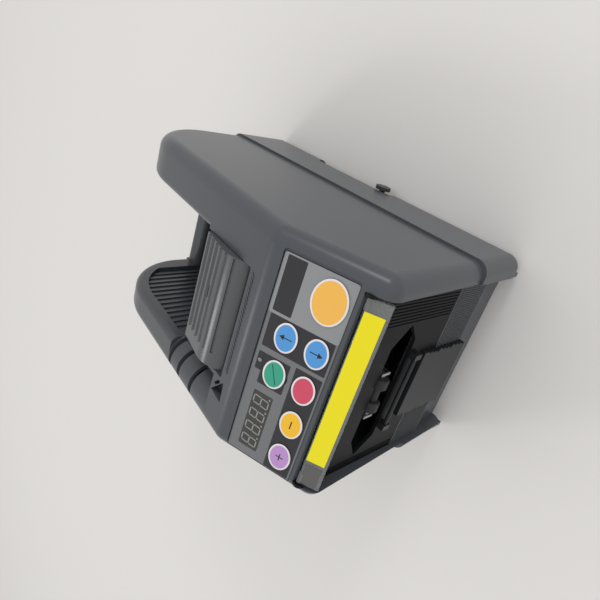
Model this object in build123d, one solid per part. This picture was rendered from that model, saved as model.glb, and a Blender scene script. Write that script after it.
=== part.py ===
from build123d import *
import math
import os

# A table-top electric tape dispenser, in millimetres.
# +X is the user's right, -Y the front, +Z up; the origin is on the table, under the middle of the case.

# Case
WIDTH = 127.0
DEPTH = 226.6
APEX_HEIGHT = 150.5
APEX_BACK = 55.6
WALL = 2.5
BAND_HEIGHT = 50.0
BAND_STEP = 1.5
RIM_HEIGHT = 3.0
SKIRT_LIFT = 0.8
PANEL_TILT = 19.8
TOP_SLOPE = 7.5
REAR_LEAN = 1.0
FRONT_LEAN = 2.5
REAR_SETBACK = 1.5
SIDE_ROUND = 8.0
FRONT_ROUND = 8.2
APEX_ROUND = 10.0
REAR_ROUND = 56.0
FOOT_ROUND = 9.0
ARM_ROUND = 4.0

# The case's own planes and slopes
HALF = WIDTH / 2 - BAND_STEP
FRONT_Y = -DEPTH / 2
REAR_Y = DEPTH / 2
APEX_Y = FRONT_Y + APEX_BACK
PANEL_SLOPE = math.tan(math.radians(PANEL_TILT))
ROOF_SLOPE = math.tan(math.radians(TOP_SLOPE))
REAR_SLOPE = math.tan(math.radians(REAR_LEAN))
FRONT_SLOPE = math.tan(math.radians(FRONT_LEAN))
FRONT_TOP_Z = APEX_HEIGHT - APEX_BACK * PANEL_SLOPE
REAR_SPLIT_Y = REAR_Y - REAR_SETBACK
TRAY_REAR = REAR_SPLIT_Y + BAND_STEP - WALL
FLOOR_Z = 3.0
FLOOR_THICK = 2.5
FLOOR_TOP = FLOOR_Z + FLOOR_THICK
BIG = 400.0

# Front recess between the cheeks
LEFT_CHEEK = 5.0
RIGHT_CHEEK = 10.0
PLATE_SETBACK = 6.8
PLATE_DROP = 2.7
PLATE_THICK = 2.0
PLATE_BOTTOM = 59.0
PLATE_RIB_PITCH = 1.8
PLATE_RIB_COUNT = 11
APRON_BOTTOM = 32.0
APRON_SETBACK = 5.5
RECESS_LEFT = -HALF + LEFT_CHEEK
RECESS_RIGHT = HALF - RIGHT_CHEEK
PLATE_FRONT = FRONT_Y + PLATE_SETBACK
PLATE_TOP = FRONT_TOP_Z - PLATE_DROP

# Tape well between the arms
LEFT_ARM = 21.0
RIGHT_ARM = 25.5
DECK_LENGTH = 53.7
LIP_DEPTH = 14.8
WELL_FLOOR = 30.5
WELL_LIP = 70.0
WELL_LIP_DROP = 8.0
LIP_ROUND = 4.5
LEFT_LINER = 8.5
WELL_LEFT = -HALF + LEFT_ARM
WELL_RIGHT = HALF - RIGHT_ARM
WELL_FRONT = APEX_Y + DECK_LENGTH
WELL_REAR = REAR_SPLIT_Y - LIP_DEPTH

# Ribbed recess in the left arm
RECESS_DEPTH = 6.0
RECESS_RIM = 8.0
RECESS_BACK = 20.0
RECESS_FLOOR = 14.0
RIB_COUNT = 14
RIB_WIDTH = 2.4
RIB_HEIGHT = 3.5
RECESS_START = WELL_FRONT + RECESS_BACK

# Tape inlet, under the hinged guide
INLET_INSET = 14.0
INLET_LENGTH = 43.5
INLET_DEPTH = 18.5
INLET_LEFT = WELL_LEFT + INLET_INSET
INLET_FRONT = WELL_FRONT - INLET_LENGTH
INLET_BOTTOM = APEX_HEIGHT - INLET_DEPTH

# Rounded shoulder beside the tape guide
SHOULDER_INSET = 9.0
SHOULDER_ROUND = 13.0
SHOULDER_REACH = 14.0
SHOULDER_START = 6.5
VENT_BACKS = (-18.7, -2.7, 9.8)
VENT_WIDTH = 3.4
VENT_DEPTH = 4.2
POCKET_DEPTH = 5.0
POCKET_WIDTH = 11.0
POCKET_FRONT = 5.0
SLIT_WIDTH = 1.8
SLIT_LENGTH = 5.5
SHOULDER_X = -HALF + SHOULDER_INSET
SHOULDER_FRONT = INLET_FRONT + SHOULDER_START
SHOULDER_END = WELL_FRONT + SHOULDER_REACH

# Tape guide
GUIDE_GAP = 0.5
GUIDE_WALL = 2.0
GUIDE_ARC = 16.0
GUIDE_ARC_BACK = 16.5
GUIDE_ARC_DROP = 15.0
GUIDE_REAR_SLOPE = 15.0
GUIDE_REAR_GAP = 2.5
GUIDE_SKIRT_DROP = 12.5
GUIDE_PIN_BACK = 4.5
GUIDE_PIN_DROP = 9.5
GUIDE_PIN_R = 1.5
GUIDE_RIB_BACKS = (0.0, 5.5, 11.0, 16.5, 21.5)
GUIDE_RIB_WIDTH = 1.2
GUIDE_RIB_HEIGHT = 0.8
GUIDE_RIB_INSET = 8.0
GUIDE_GROOVE_BACK = -6.0
GUIDE_SLOT_BACK = 8.3
GUIDE_ARC_Y = INLET_FRONT + GUIDE_ARC_BACK
GUIDE_ARC_Z = APEX_HEIGHT - GUIDE_ARC_DROP
GUIDE_REAR = WELL_FRONT - GUIDE_REAR_GAP
GUIDE_SKIRT_Z = APEX_HEIGHT - GUIDE_SKIRT_DROP
GUIDE_PIN_Y = WELL_FRONT - GUIDE_PIN_BACK
GUIDE_PIN_Z = APEX_HEIGHT - GUIDE_PIN_DROP
GUIDE_GROOVE = GUIDE_ARC_Y + GUIDE_GROOVE_BACK
GUIDE_SLOT = GUIDE_ARC_Y + GUIDE_SLOT_BACK

# Panel: places are measured across from the overlay's left edge and up its slope
OVERLAY_LEFT_EDGE = 4.1
OVERLAY_RIGHT_EDGE = 8.5
OVERLAY_RISE = 37.6
OVERLAY_SETBACK = 13.9
OVERLAY_THICK = 0.5
OVERLAY_ROUND = 2.0
OVERLAY_SUNK = 0.8
SUNK_BORDER = 1.5
SMALL_KEY_R = 6.7
START_KEY_R = 9.7
KEY_COLUMN = 10.9
START_INSET = 13.6
START_SPREAD = 4.9
KEY_ROW = 8.4
UPPER_KEY_ROW = 24.55
START_ROW = 10.8
KEY_GAP = 0.3
KEY_PROUD = 0.4
KEY_FLANGE = 0.9
KEY_FLANGE_THICK = 0.8
KEY_REST_GAP = 0.3
KEY_TRAVEL = 0.4
WINDOW_LEFT = 5.1
WINDOW_BOTTOM = 21.2
WINDOW_KEY_GAP = 6.3
WINDOW_RISE = 10.7
WINDOW_GAP = 0.1
BOARD_DROP = 6.0
BOARD_THICK = 1.6
BOARD_EDGE = 2.5
BOARD_LOWER = 3.0
BOSS_R = 2.5
BOARD_SCREW_R = 1.0
BOARD_SCREW_EDGE = 4.5
SWITCH_SIZE = 6.2
SWITCH_DOME_R = 1.8
OVERLAY_LEFT = -HALF + OVERLAY_LEFT_EDGE
OVERLAY_WIDTH = 2 * HALF - OVERLAY_LEFT_EDGE - OVERLAY_RIGHT_EDGE
OVERLAY_FRONT = FRONT_Y + OVERLAY_SETBACK
PANEL_WALL = WALL - OVERLAY_SUNK
START_COLUMN = OVERLAY_WIDTH - START_INSET
KEY_PITCH = (START_COLUMN - KEY_COLUMN - START_SPREAD) / 4
KEYS = {
    "plus_key": (KEY_COLUMN, KEY_ROW, SMALL_KEY_R),
    "minus_key": (KEY_COLUMN + KEY_PITCH, KEY_ROW, SMALL_KEY_R),
    "select_key": (KEY_COLUMN + 2 * KEY_PITCH, KEY_ROW, SMALL_KEY_R),
    "mode_key": (KEY_COLUMN + 2 * KEY_PITCH, UPPER_KEY_ROW, SMALL_KEY_R),
    "forward_key": (KEY_COLUMN + 3 * KEY_PITCH, UPPER_KEY_ROW, SMALL_KEY_R),
    "reverse_key": (KEY_COLUMN + 3 * KEY_PITCH, KEY_ROW, SMALL_KEY_R),
    "start_key": (START_COLUMN, START_ROW, START_KEY_R),
}
WINDOW_WIDTH = KEY_COLUMN + 2 * KEY_PITCH - SMALL_KEY_R - WINDOW_KEY_GAP - WINDOW_LEFT
BOARD_SCREW_PLACES = (
    (KEY_COLUMN + KEY_PITCH / 2, KEY_ROW + 7.0),
    (START_COLUMN - START_KEY_R, OVERLAY_RISE - BOARD_SCREW_EDGE - 3.0),
    (KEY_COLUMN + 2.5 * KEY_PITCH, BOARD_SCREW_EDGE),
    (KEY_COLUMN + 2.5 * KEY_PITCH, OVERLAY_RISE - BOARD_SCREW_EDGE),
)

# Outlet
OUTLET_LEFT_EDGE = 7.5
OUTLET_RIGHT_EDGE = 19.5
OUTLET_DROP = 46.5
OUTLET_HEIGHT = 19.0
WHEEL_R = 4.5
WHEEL_PROUD = 1.5
WHEEL_WIDTH = 6.0
WHEEL_SPACING = 14.0
WHEEL_AXLE_R = 1.5
CATCH_LEFT_EDGE = 28.0
CATCH_RIGHT_EDGE = 39.0
CATCH_THICK = 3.5
CATCH_STRIPS = 3
REST_BAR_DROP = 4.0
REST_BAR_OVER = 9.0
REST_BAR_R = 1.2
REST_BAR_OUT = 2.2
BRACKET_HALF = 1.6
OUTLET_LEFT = RECESS_LEFT + OUTLET_LEFT_EDGE
OUTLET_RIGHT = RECESS_RIGHT - OUTLET_RIGHT_EDGE
OUTLET_CENTRE = (OUTLET_LEFT + OUTLET_RIGHT) / 2
OUTLET_HALF = (OUTLET_RIGHT - OUTLET_LEFT) / 2
OUTLET_TOP = APEX_HEIGHT - OUTLET_DROP
OUTLET_BOTTOM = OUTLET_TOP - OUTLET_HEIGHT
WHEEL_Y = PLATE_FRONT + WHEEL_PROUD
WHEEL_Z = OUTLET_TOP - 0.5 - WHEEL_R
WHEEL_PLACES = (OUTLET_CENTRE + 0.5 - WHEEL_SPACING / 2, OUTLET_CENTRE + 0.5 + WHEEL_SPACING / 2)
REST_BAR_Z = OUTLET_BOTTOM - REST_BAR_DROP
CATCH_LEFT = RECESS_LEFT + CATCH_LEFT_EDGE
CATCH_RIGHT = RECESS_RIGHT - CATCH_RIGHT_EDGE
CATCH_BOTTOM = APRON_BOTTOM + 0.5
CATCH_TOP = REST_BAR_Z - REST_BAR_OVER
REST_BAR_LEFT = CATCH_LEFT - 6.0
REST_BAR_RIGHT = CATCH_RIGHT + 2.0

# Mechanism frame
FRAME_LEFT_GAP = 9.5
FRAME_RIGHT_GAP = 2.0
FRAME_THICK = 1.5
FRAME_SETBACK = 8.5
FRAME_REAR_GAP = 10.0
FRAME_PEAK_DROP = 19.5
FRAME_TOP_DROP = 23.5
FRAME_FOOT = 12.0
FRAME_SCREW_INSET = 22.0
TIE_ROD_R = 3.0
TIE_ROD_Z = 50.0
TIE_ROD_FRONT = 10.0
TIE_ROD_REAR = 8.0
TIE_ROD_DROP = 28.5
RUN_GAP = 0.05
FRAME_LEFT = WELL_LEFT + FRAME_LEFT_GAP
FRAME_RIGHT = WELL_RIGHT - FRAME_RIGHT_GAP
FRAME_FRONT = PLATE_FRONT + FRAME_SETBACK
FRAME_REAR = WELL_FRONT - FRAME_REAR_GAP
FRAME_SCREW_PLACES = (FRAME_FRONT + FRAME_SCREW_INSET, FRAME_REAR - FRAME_SCREW_INSET)
TIE_ROD_PLACES = ((FRAME_FRONT + TIE_ROD_FRONT, TIE_ROD_Z), (FRAME_REAR - TIE_ROD_REAR, TIE_ROD_Z),
                  (FRAME_REAR - TIE_ROD_REAR, APEX_HEIGHT - TIE_ROD_DROP))

# Feed rollers and their gear train
FEED_R = 13.0
FEED_BACK = 1.0
FEED_DROP = 42.5
PINCH_R = 8.0
PINCH_ANGLE = 130.4
NIP_GAP = 0.3
SHAFT_R = 3.0
BUSH_R = 5.0
RING_WIDTH = 7.0
RING_COUNT = 5
RING_LEFT_GAP = 9.0
RING_RIGHT_GAP = 7.5
GEAR_MODULE = 1.0
GEAR_FACE = 4.0
FEED_TEETH = 30
IDLER_TEETH = 20
PINION_TEETH = 12
GEAR_GAP = 1.0
IDLER_PIN_R = 2.0
FEED_MOTOR_R = 13.0
FEED_MOTOR_LENGTH = 42.0
MOTOR_BOSS_R = 4.0
FEED_Y = INLET_FRONT + FEED_BACK
FEED_Z = APEX_HEIGHT - FEED_DROP

# Cutter
BLADE_SETBACK = 6.7
BLADE_THICK = 1.5
BLADE_SHEAR_GAP = 0.3
BLADE_EDGE_DROP = 2.5
FIXED_EDGE_DROP = 10.2
FIXED_BLADE_HEIGHT = 14.0
BLADE_BAR_THICK = 7.0
CARRIAGE_HEIGHT = 9.0
CARRIAGE_DEPTH = 7.8
CARRIAGE_GAP = 4.5
YOKE_GAP = 6.0
YOKE_THICK = 3.0
CRANK_R = 7.0
CRANK_SWING = 40.0
CRANK_BACK = 13.8
CRANK_LIFT = 4.0
CRANK_PIN_R = 1.5
CRANK_DISC_R = 9.0
CRANK_DISC_GAP = 0.7
CRANK_DISC_THICK = 4.0
CRANK_SHAFT_R = 2.5
YOKE_SLACK = 0.4
GUIDE_ROD_R = 2.0
GUIDE_ROD_INSET = 7.0
BLADE_SCREW_INSET = 15.0
BLADE_SCREW_R = 1.5
BLADE_SCREW_HEAD_R = 2.4
BRIDGE_LIFT = 6.0
BRIDGE_THICK = 3.5
CUTTER_MOTOR_R = 10.0
CUTTER_MOTOR_LENGTH = 21.0
CUTTER_LUG_REACH = 14.0
BLADE_FRONT = PLATE_FRONT + BLADE_SETBACK
BLADE_EDGE_Z = OUTLET_TOP - BLADE_EDGE_DROP
FIXED_EDGE_Z = OUTLET_TOP - FIXED_EDGE_DROP
CARRIAGE_BOTTOM = OUTLET_TOP
CARRIAGE_TOP = CARRIAGE_BOTTOM + CARRIAGE_HEIGHT
CARRIAGE_REAR = BLADE_FRONT + CARRIAGE_DEPTH
CARRIAGE_LEFT = FRAME_LEFT + CARRIAGE_GAP
YOKE_RIGHT = FRAME_RIGHT - YOKE_GAP
YOKE_LEFT = YOKE_RIGHT - YOKE_THICK
CRANK_Y = BLADE_FRONT + CRANK_BACK
CRANK_Z = CARRIAGE_BOTTOM + CRANK_LIFT
YOKE_REAR = CRANK_Y - GUIDE_ROD_R
CRANK_DISC_LEFT = YOKE_RIGHT + CRANK_DISC_GAP
GUIDE_ROD_PLACES = (CARRIAGE_LEFT + GUIDE_ROD_INSET, YOKE_LEFT - GUIDE_ROD_INSET)
BLADE_SCREW_PLACES = (CARRIAGE_LEFT + BLADE_SCREW_INSET, YOKE_LEFT - BLADE_SCREW_INSET)
BRIDGE_BOTTOM = CARRIAGE_TOP + BRIDGE_LIFT
BRIDGE_TOP = BRIDGE_BOTTOM + BRIDGE_THICK

# Safety cover over the cutter
COVER_REAR_SETBACK = 12.0
COVER_FRONT_SETBACK = 0.4
COVER_RISE = 3.72
COVER_DIP = 2.88
COVER_THICK = 2.4
COVER_GAP = 2.0
COVER_BARREL_R = 1.6
COVER_STUB_R = 1.0
COVER_HINGE_GAP = 0.3
COVER_BRACKET_R = 3.2
LABEL_LEFT_EDGE = 17.0
LABEL_RIGHT_EDGE = 8.5
LABEL_RISE = 9.4
LABEL_THICK = 0.2
COVER_REAR = FRONT_Y + COVER_REAR_SETBACK
COVER_FRONT = FRONT_Y + COVER_FRONT_SETBACK
COVER_REAR_Z = FRONT_TOP_Z + COVER_RISE
COVER_FRONT_Z = FRONT_TOP_Z - COVER_DIP
LABEL_LEFT = RECESS_LEFT + LABEL_LEFT_EDGE
LABEL_RIGHT = RECESS_RIGHT - LABEL_RIGHT_EDGE

# Roll cradle
CRADLE_R = 8.0
CRADLE_INSET = 24.0
CRADLE_LIFT = 1.5
CRADLE_GAP = 0.8
CRADLE_PLACES = (WELL_FRONT + CRADLE_INSET, WELL_REAR - CRADLE_INSET)

# Base: feet, screws, sockets and the side lever
FOOT_INSET_X = 15.0
FOOT_INSET_Y = 29.3
FOOT_R = 8.0
SCREW_INSET = 7.5
SCREW_FRONT = 35.3
SCREW_REAR = 41.3
SCREW_POST_R = 4.0
SCREW_R = 1.5
SCREW_HEAD_R = 3.0
SCREW_HEAD_DEPTH = 5.0
POST_HEIGHT = 22.0
FEET_X = HALF - FOOT_INSET_X
FEET_Y = REAR_Y - FOOT_INSET_Y
SCREW_X = HALF - SCREW_INSET
SCREW_PLACES = (FRONT_Y + SCREW_FRONT, REAR_Y - SCREW_REAR)
LEVER_Y = -4.0
LEVER_TRAVEL = 45.0
LEVER_KNOB_R = 5.3
LEVER_PROUD = 2.8
LEVER_THICK = 2.5
LEVER_SLIDER_LENGTH = 24.0
ARCH_FRONT = LEVER_Y - 9.3
ARCH_REAR = LEVER_Y + LEVER_TRAVEL + 16.8
ARCH_TOP = 14.0
NOTCH_BACK = 44.0
NOTCH_WIDTH = 4.0
NOTCH_HEIGHT = 4.5
JACK_X = -20.0
JACK_Z = 20.0
JACK_R = 2.8
JACK_BODY = 11.0
ROCKER_X = 12.0
ROCKER_Z = 17.5
ROCKER_WIDTH = 9.0
ROCKER_HEIGHT = 15.0
ROCKER_SWING = 7.0
ROCKER_AXIS_DEPTH = 5.0

# Power board on the base
POWER_LEFT_GAP = 7.0
POWER_RIGHT_GAP = 8.5
POWER_FRONT_GAP = 18.0
POWER_REAR_GAP = 13.0
POWER_LIFT = 4.0
POWER_THICK = 1.6
POWER_POST_R = 2.5
POWER_POST_INSET = 6.0
CAPACITOR_R = 6.0
CAPACITOR_HEIGHT = 10.4
CAPACITOR_SPACING = 16.0
TRANSFORMER_WIDTH = 16.0
TRANSFORMER_DEPTH = 22.0
TRANSFORMER_HEIGHT = 11.4


def panel_z(y):
    return APEX_HEIGHT + (y - APEX_Y) * PANEL_SLOPE


def roof_z(y):
    return APEX_HEIGHT - (y - APEX_Y) * ROOF_SLOPE


def front_y(z):
    return FRONT_Y + (FRONT_TOP_Z - z) * FRONT_SLOPE


def rear_y(z):
    return REAR_SPLIT_Y - (z - BAND_HEIGHT) * REAR_SLOPE


# Small helpers

def block(x0, x1, y0, y1, z0, z1):
    centre = ((x0 + x1) / 2, (y0 + y1) / 2, (z0 + z1) / 2)
    return Pos(*centre) * Box(abs(x1 - x0), abs(y1 - y0), abs(z1 - z0))


def rod(axis, start, end, first, second, radius):
    # The two places are along the other two axes, in X, Y, Z order
    middle, length = (start + end) / 2, abs(end - start)
    if axis == "X":
        return Pos(middle, first, second) * Rot(0, 90, 0) * Cylinder(radius, length)
    if axis == "Y":
        return Pos(first, middle, second) * Rot(90, 0, 0) * Cylinder(radius, length)
    return Pos(first, second, middle) * Cylinder(radius, length)


def outline(points, radii=0.0):
    if isinstance(radii, float):
        radii = [radii] * len(points)
    return make_face(FilletPolyline(*points, radius=radii, close=True).edges())


def side_prism(face, x0, x1):
    # The outline's first coordinate is Y and its second is Z
    return extrude(Plane(origin=(x0, 0, 0), x_dir=(0, 1, 0), z_dir=(1, 0, 0)) * face, x1 - x0)


def front_prism(face, y0, y1):
    # The outline's first coordinate is X and its second is Z
    return extrude(Plane(origin=(0, y1, 0), x_dir=(1, 0, 0), z_dir=(0, -1, 0)) * face, y1 - y0)


def top_prism(face, z0, z1):
    return extrude(Plane(origin=(0, 0, z0)) * face, z1 - z0)


def together(pieces):
    whole = pieces[0]
    for piece in pieces[1:]:
        whole = whole + piece
    return whole


def apart(pieces):
    solids = [solid for piece in pieces for solid in piece.solids()]
    return Compound(children=solids)


# Case shape

def upper_outline():
    rear_corner_y = ((REAR_SPLIT_Y + (BAND_HEIGHT - APEX_HEIGHT - APEX_Y * ROOF_SLOPE) * REAR_SLOPE)
                     / (1 - ROOF_SLOPE * REAR_SLOPE))
    points = [
        (front_y(0), 0),
        (FRONT_Y, FRONT_TOP_Z),
        (APEX_Y, APEX_HEIGHT),
        (rear_corner_y, roof_z(rear_corner_y)),
        (rear_y(0), 0),
    ]
    return outline(points, [0.0, FRONT_ROUND, APEX_ROUND, REAR_ROUND, 0.0])


def lower_outline():
    points = [
        (front_y(0) - BAND_STEP, SKIRT_LIFT),
        (front_y(BAND_HEIGHT) - BAND_STEP, BAND_HEIGHT),
        (REAR_SPLIT_Y + BAND_STEP, BAND_HEIGHT),
        (DEPTH / 2, SKIRT_LIFT),
    ]
    return outline(points, [FOOT_ROUND, 0.0, 0.0, FOOT_ROUND / 3])


def rounded_block(face, half_width, radius, skip_top):
    body = side_prism(face, -half_width, half_width)
    rims = [f for f in body.faces() if abs(abs(f.normal_at().X) - 1) < 0.01]
    edges = []
    for rim in rims:
        for edge in rim.edges():
            flat = abs(edge.tangent_at(0).Z) < 0.01 and abs(edge.tangent_at(1).Z) < 0.01
            z = edge.center().Z
            if flat and (z < 1 or (skip_top and z > BAND_HEIGHT - 1)):
                continue
            edges.append(edge)
    return fillet(edges, radius)


def upper_block(inset=0.0):
    face = upper_outline()
    if inset:
        face = offset(face, -inset, kind=Kind.INTERSECTION)
    body = rounded_block(face, HALF - inset, SIDE_ROUND - inset, False)
    return body - block(-BIG, BIG, -BIG, BIG, -BIG, BAND_HEIGHT)


def shoulder_cutter(radius):
    # Everything above the quarter-round shoulder, in line with the sloping roof
    drop = SHOULDER_ROUND - radius
    raised = block(SHOULDER_X, INLET_LEFT - WALL + drop, SHOULDER_FRONT - BIG, SHOULDER_END + BIG, -SHOULDER_ROUND, BIG)
    bar = rod("Y", SHOULDER_FRONT - BIG, SHOULDER_END + BIG, SHOULDER_X, -SHOULDER_ROUND, radius)
    tool = raised - bar
    tool = Pos(0, -APEX_Y, 0) * tool
    tool = Pos(0, APEX_Y, APEX_HEIGHT) * Rot(-TOP_SLOPE, 0, 0) * tool
    return tool & block(-BIG, BIG, SHOULDER_FRONT, SHOULDER_END, -BIG, BIG)


def shoulder_vents():
    # Three slots that follow the shoulder's curve, square to the roof's length
    tools = []
    for back in VENT_BACKS:
        place = WELL_FRONT + back
        ring = Cylinder(SHOULDER_ROUND + 2, VENT_WIDTH) - Cylinder(SHOULDER_ROUND - VENT_DEPTH, VENT_WIDTH)
        quarter = ring & Pos(BIG / 2, BIG / 2 + 3, 0) * Box(BIG, BIG, VENT_WIDTH)
        flat = Pos(-3.0, SHOULDER_ROUND - VENT_DEPTH / 2 + 1, 0) * Box(6.0, VENT_DEPTH + 2, VENT_WIDTH)
        tool = Rot(90, 0, 0) * (quarter + flat)
        tools.append(Pos(SHOULDER_X, place, roof_z(place) - SHOULDER_ROUND) * Rot(-TOP_SLOPE, 0, 0) * tool)
    return tools


def upper_housing():
    body = upper_block()
    cavity = upper_block(WALL) + block(-HALF + WALL, HALF - WALL, front_y(BAND_HEIGHT) + WALL,
                                       rear_y(BAND_HEIGHT) - WALL, BAND_HEIGHT - 1, BAND_HEIGHT + 1)
    cavity = cavity - shoulder_cutter(SHOULDER_ROUND - WALL)
    shell = body - cavity
    shell = shell + tub(body)
    shell = shell + cheek_walls(body)
    shell = shell + inlet_walls(body)
    shell = shell - shoulder_cutter(SHOULDER_ROUND)
    shell = shell + ((shoulder_pocket(WALL) & body) - shoulder_cutter(SHOULDER_ROUND))
    shell = shell - well_space() + rear_lip()
    shell = shell - arm_edges()
    shell = shell - block(INLET_LEFT, WELL_RIGHT, INLET_FRONT, WELL_FRONT + 1, INLET_BOTTOM, BIG)
    shell = shell - block(RECESS_LEFT, RECESS_RIGHT, -BIG, COVER_REAR, 0, BIG)
    for vent in shoulder_vents():
        shell = shell - vent
    shell = shell - shoulder_pocket(0.0)
    shell = shell + left_ribs()
    shell = shell + panel_bosses()
    shell = shell - panel_cuts()
    shell = shell + screw_posts(body)
    for place in SCREW_PLACES:
        for side in (-1, 1):
            shell = shell - rod("Z", BAND_HEIGHT - 1, BAND_HEIGHT + POST_HEIGHT - 4, side * SCREW_X, place, SCREW_R)
    pin_hole = rod("X", INLET_LEFT - 3 * WALL, WELL_RIGHT + WALL, GUIDE_PIN_Y, GUIDE_PIN_Z, GUIDE_PIN_R + RUN_GAP)
    shell = shell - pin_hole
    for place in CRADLE_PLACES:
        z = WELL_FLOOR + CRADLE_LIFT + CRADLE_R
        shell = shell - rod("X", WELL_LEFT - 5, WELL_RIGHT + WALL, place, z, SHAFT_R + RUN_GAP)
    return shell


def tub(body):
    # The trough that the roll sits in, with a thick left side that holds the ribbed recess
    outer = block(WELL_LEFT - LEFT_LINER, WELL_RIGHT + WALL, WELL_FRONT - WALL, WELL_REAR + WALL,
                  WELL_FLOOR - WALL, BIG)
    high = outer & body
    low = block(WELL_LEFT - LEFT_LINER, WELL_RIGHT + WALL, WELL_FRONT - WALL, WELL_REAR + WALL,
                WELL_FLOOR - WALL, BAND_HEIGHT)
    ends = (block(WELL_LEFT - WALL, WELL_LEFT, WELL_REAR, BIG, WELL_LIP - WELL_LIP_DROP - 3, BIG)
            + block(WELL_RIGHT, WELL_RIGHT + WALL, WELL_REAR, BIG, WELL_LIP - WELL_LIP_DROP - 3, BIG)) & body
    return high + low + ends


def well_space():
    space = block(WELL_LEFT, WELL_RIGHT, WELL_FRONT, WELL_REAR, WELL_FLOOR, BIG)
    over_lip = block(WELL_LEFT, WELL_RIGHT, WELL_REAR - 1, BIG, WELL_LIP - WELL_LIP_DROP, BIG)
    arch = offset(upper_outline(), -RECESS_RIM, kind=Kind.INTERSECTION)
    recess = side_prism(arch, WELL_LEFT - RECESS_DEPTH, WELL_LEFT + 1)
    recess = recess & block(-BIG, BIG, RECESS_START, WELL_REAR, WELL_FLOOR + RECESS_FLOOR, BIG)
    return space + over_lip + recess


def arm_edges():
    # What is taken off the arms' inner edges to round them
    edges = []
    low = WELL_LIP + RUN_GAP
    for inner, way in ((WELL_LEFT, -1), (WELL_RIGHT, 1)):
        start, end = sorted((inner, inner + way * 3 * ARM_ROUND))
        sharp = side_prism(upper_outline(), start, end)
        face = sharp.faces().sort_by(Axis.X)[0 if way > 0 else -1]
        rim = [e for e in face.edges() if e.center().Z > 1]
        front = SHOULDER_END if way < 0 else WELL_FRONT
        edges.append((sharp - fillet(rim, ARM_ROUND)) & block(-BIG, BIG, front, BIG, low, BIG))
    return together(edges)


def rear_lip():
    # The rounded top of the low wall behind the roll
    low = WELL_LIP - WELL_LIP_DROP
    face = outline([(WELL_REAR, low), (WELL_REAR, WELL_LIP), (rear_y(WELL_LIP), WELL_LIP), (rear_y(low), low)],
                   [0.0, LIP_ROUND, LIP_ROUND, 0.0])
    return side_prism(face, WELL_LEFT, WELL_RIGHT)


def left_ribs():
    arch = offset(upper_outline(), -RECESS_RIM, kind=Kind.INTERSECTION)
    ribs = []
    pitch = (WELL_REAR - RECESS_START) / (RIB_COUNT + 0.5)
    root = WELL_LEFT - RECESS_DEPTH
    for number in range(RIB_COUNT):
        y = RECESS_START + pitch * (number + 0.75)
        ribs.append(block(root - 0.5, root + RIB_HEIGHT, y - RIB_WIDTH / 2, y + RIB_WIDTH / 2, WELL_FLOOR + RECESS_FLOOR - 1, BIG))
    inside = side_prism(offset(arch, 0.3, kind=Kind.INTERSECTION), root - 1, WELL_LEFT)
    return together(ribs) & inside


def cheek_walls(body):
    # The cheeks' inner sides, and the ledges behind the front plate
    pieces = []
    for edge, way in ((RECESS_LEFT, -1), (RECESS_RIGHT, 1)):
        pieces.append(block(edge, edge + way * WALL, FRONT_Y, PLATE_FRONT + PLATE_THICK + 8, BAND_HEIGHT, BIG))
        pieces.append(block(edge - way * 4, edge + way * WALL, PLATE_FRONT + PLATE_THICK,
                            PLATE_FRONT + PLATE_THICK + WALL, PLATE_BOTTOM + 1, PLATE_TOP - 2))
    return together(pieces) & body


def inlet_walls(body):
    left = block(INLET_LEFT - WALL, INLET_LEFT, INLET_FRONT - WALL, WELL_FRONT, GUIDE_PIN_Z - 8, BIG)
    right = block(WELL_RIGHT, WELL_RIGHT + WALL, INLET_FRONT - WALL, WELL_FRONT, GUIDE_PIN_Z - 8, BIG)
    front = block(INLET_LEFT - WALL, WELL_RIGHT + WALL, INLET_FRONT - WALL, INLET_FRONT, GUIDE_PIN_Z - 1, BIG)
    floor = block(SHOULDER_X + 8, INLET_LEFT, INLET_FRONT, WELL_FRONT, GUIDE_PIN_Z - 11, GUIDE_PIN_Z - 8)
    return (left + right + front + floor) & body


def shoulder_pocket(margin):
    # A three-cornered pocket in the deck with a narrow slit behind it, beside the guide
    right, front = INLET_LEFT - WALL / 2, INLET_FRONT - POCKET_FRONT
    left, rear = right - POCKET_WIDTH, SHOULDER_FRONT - WALL / 3
    pocket = outline([(left, front), (left + 1.2, rear), (right, front + 2.0), (right, front + 1.0)])
    run = math.hypot(right - left, rear - front)
    along = ((right - left) / run * SLIT_LENGTH, (front - rear) / run * SLIT_LENGTH)
    across = ((rear - front) / run * SLIT_WIDTH, (right - left) / run * SLIT_WIDTH)
    corner = (right - along[0] - across[0] - 0.4, INLET_FRONT - along[1] - across[1] + 0.4)
    slit = outline([corner, (corner[0] + along[0], corner[1] + along[1]),
                    (corner[0] + along[0] + across[0], corner[1] + along[1] + across[1]),
                    (corner[0] + across[0], corner[1] + across[1])])
    z = roof_z(INLET_FRONT)
    tools = []
    for face in (pocket, slit):
        if margin:
            face = offset(face, margin, kind=Kind.INTERSECTION)
        tools.append(top_prism(face, z - POCKET_DEPTH - margin, z + 2 + 8 * (margin == 0)))
    return together(tools)


def screw_posts(body):
    posts = []
    for place in SCREW_PLACES:
        for side in (-1, 1):
            post = rod("Z", BAND_HEIGHT, BAND_HEIGHT + POST_HEIGHT, side * SCREW_X, place, SCREW_POST_R)
            web = block(side * SCREW_X, side * HALF, place - 1, place + 1, BAND_HEIGHT, BAND_HEIGHT + POST_HEIGHT)
            posts.append(post + web)
    return together(posts) & body


# Panel

def panel_plane():
    y = OVERLAY_FRONT
    normal = (0, -math.sin(math.radians(PANEL_TILT)), math.cos(math.radians(PANEL_TILT)))
    return Plane(origin=(OVERLAY_LEFT, y, panel_z(y)), x_dir=(1, 0, 0), z_dir=normal).offset(-OVERLAY_SUNK)


def on_panel(face, low, high):
    plane = panel_plane()
    return extrude(plane.offset(low) * face, high - low)


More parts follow.
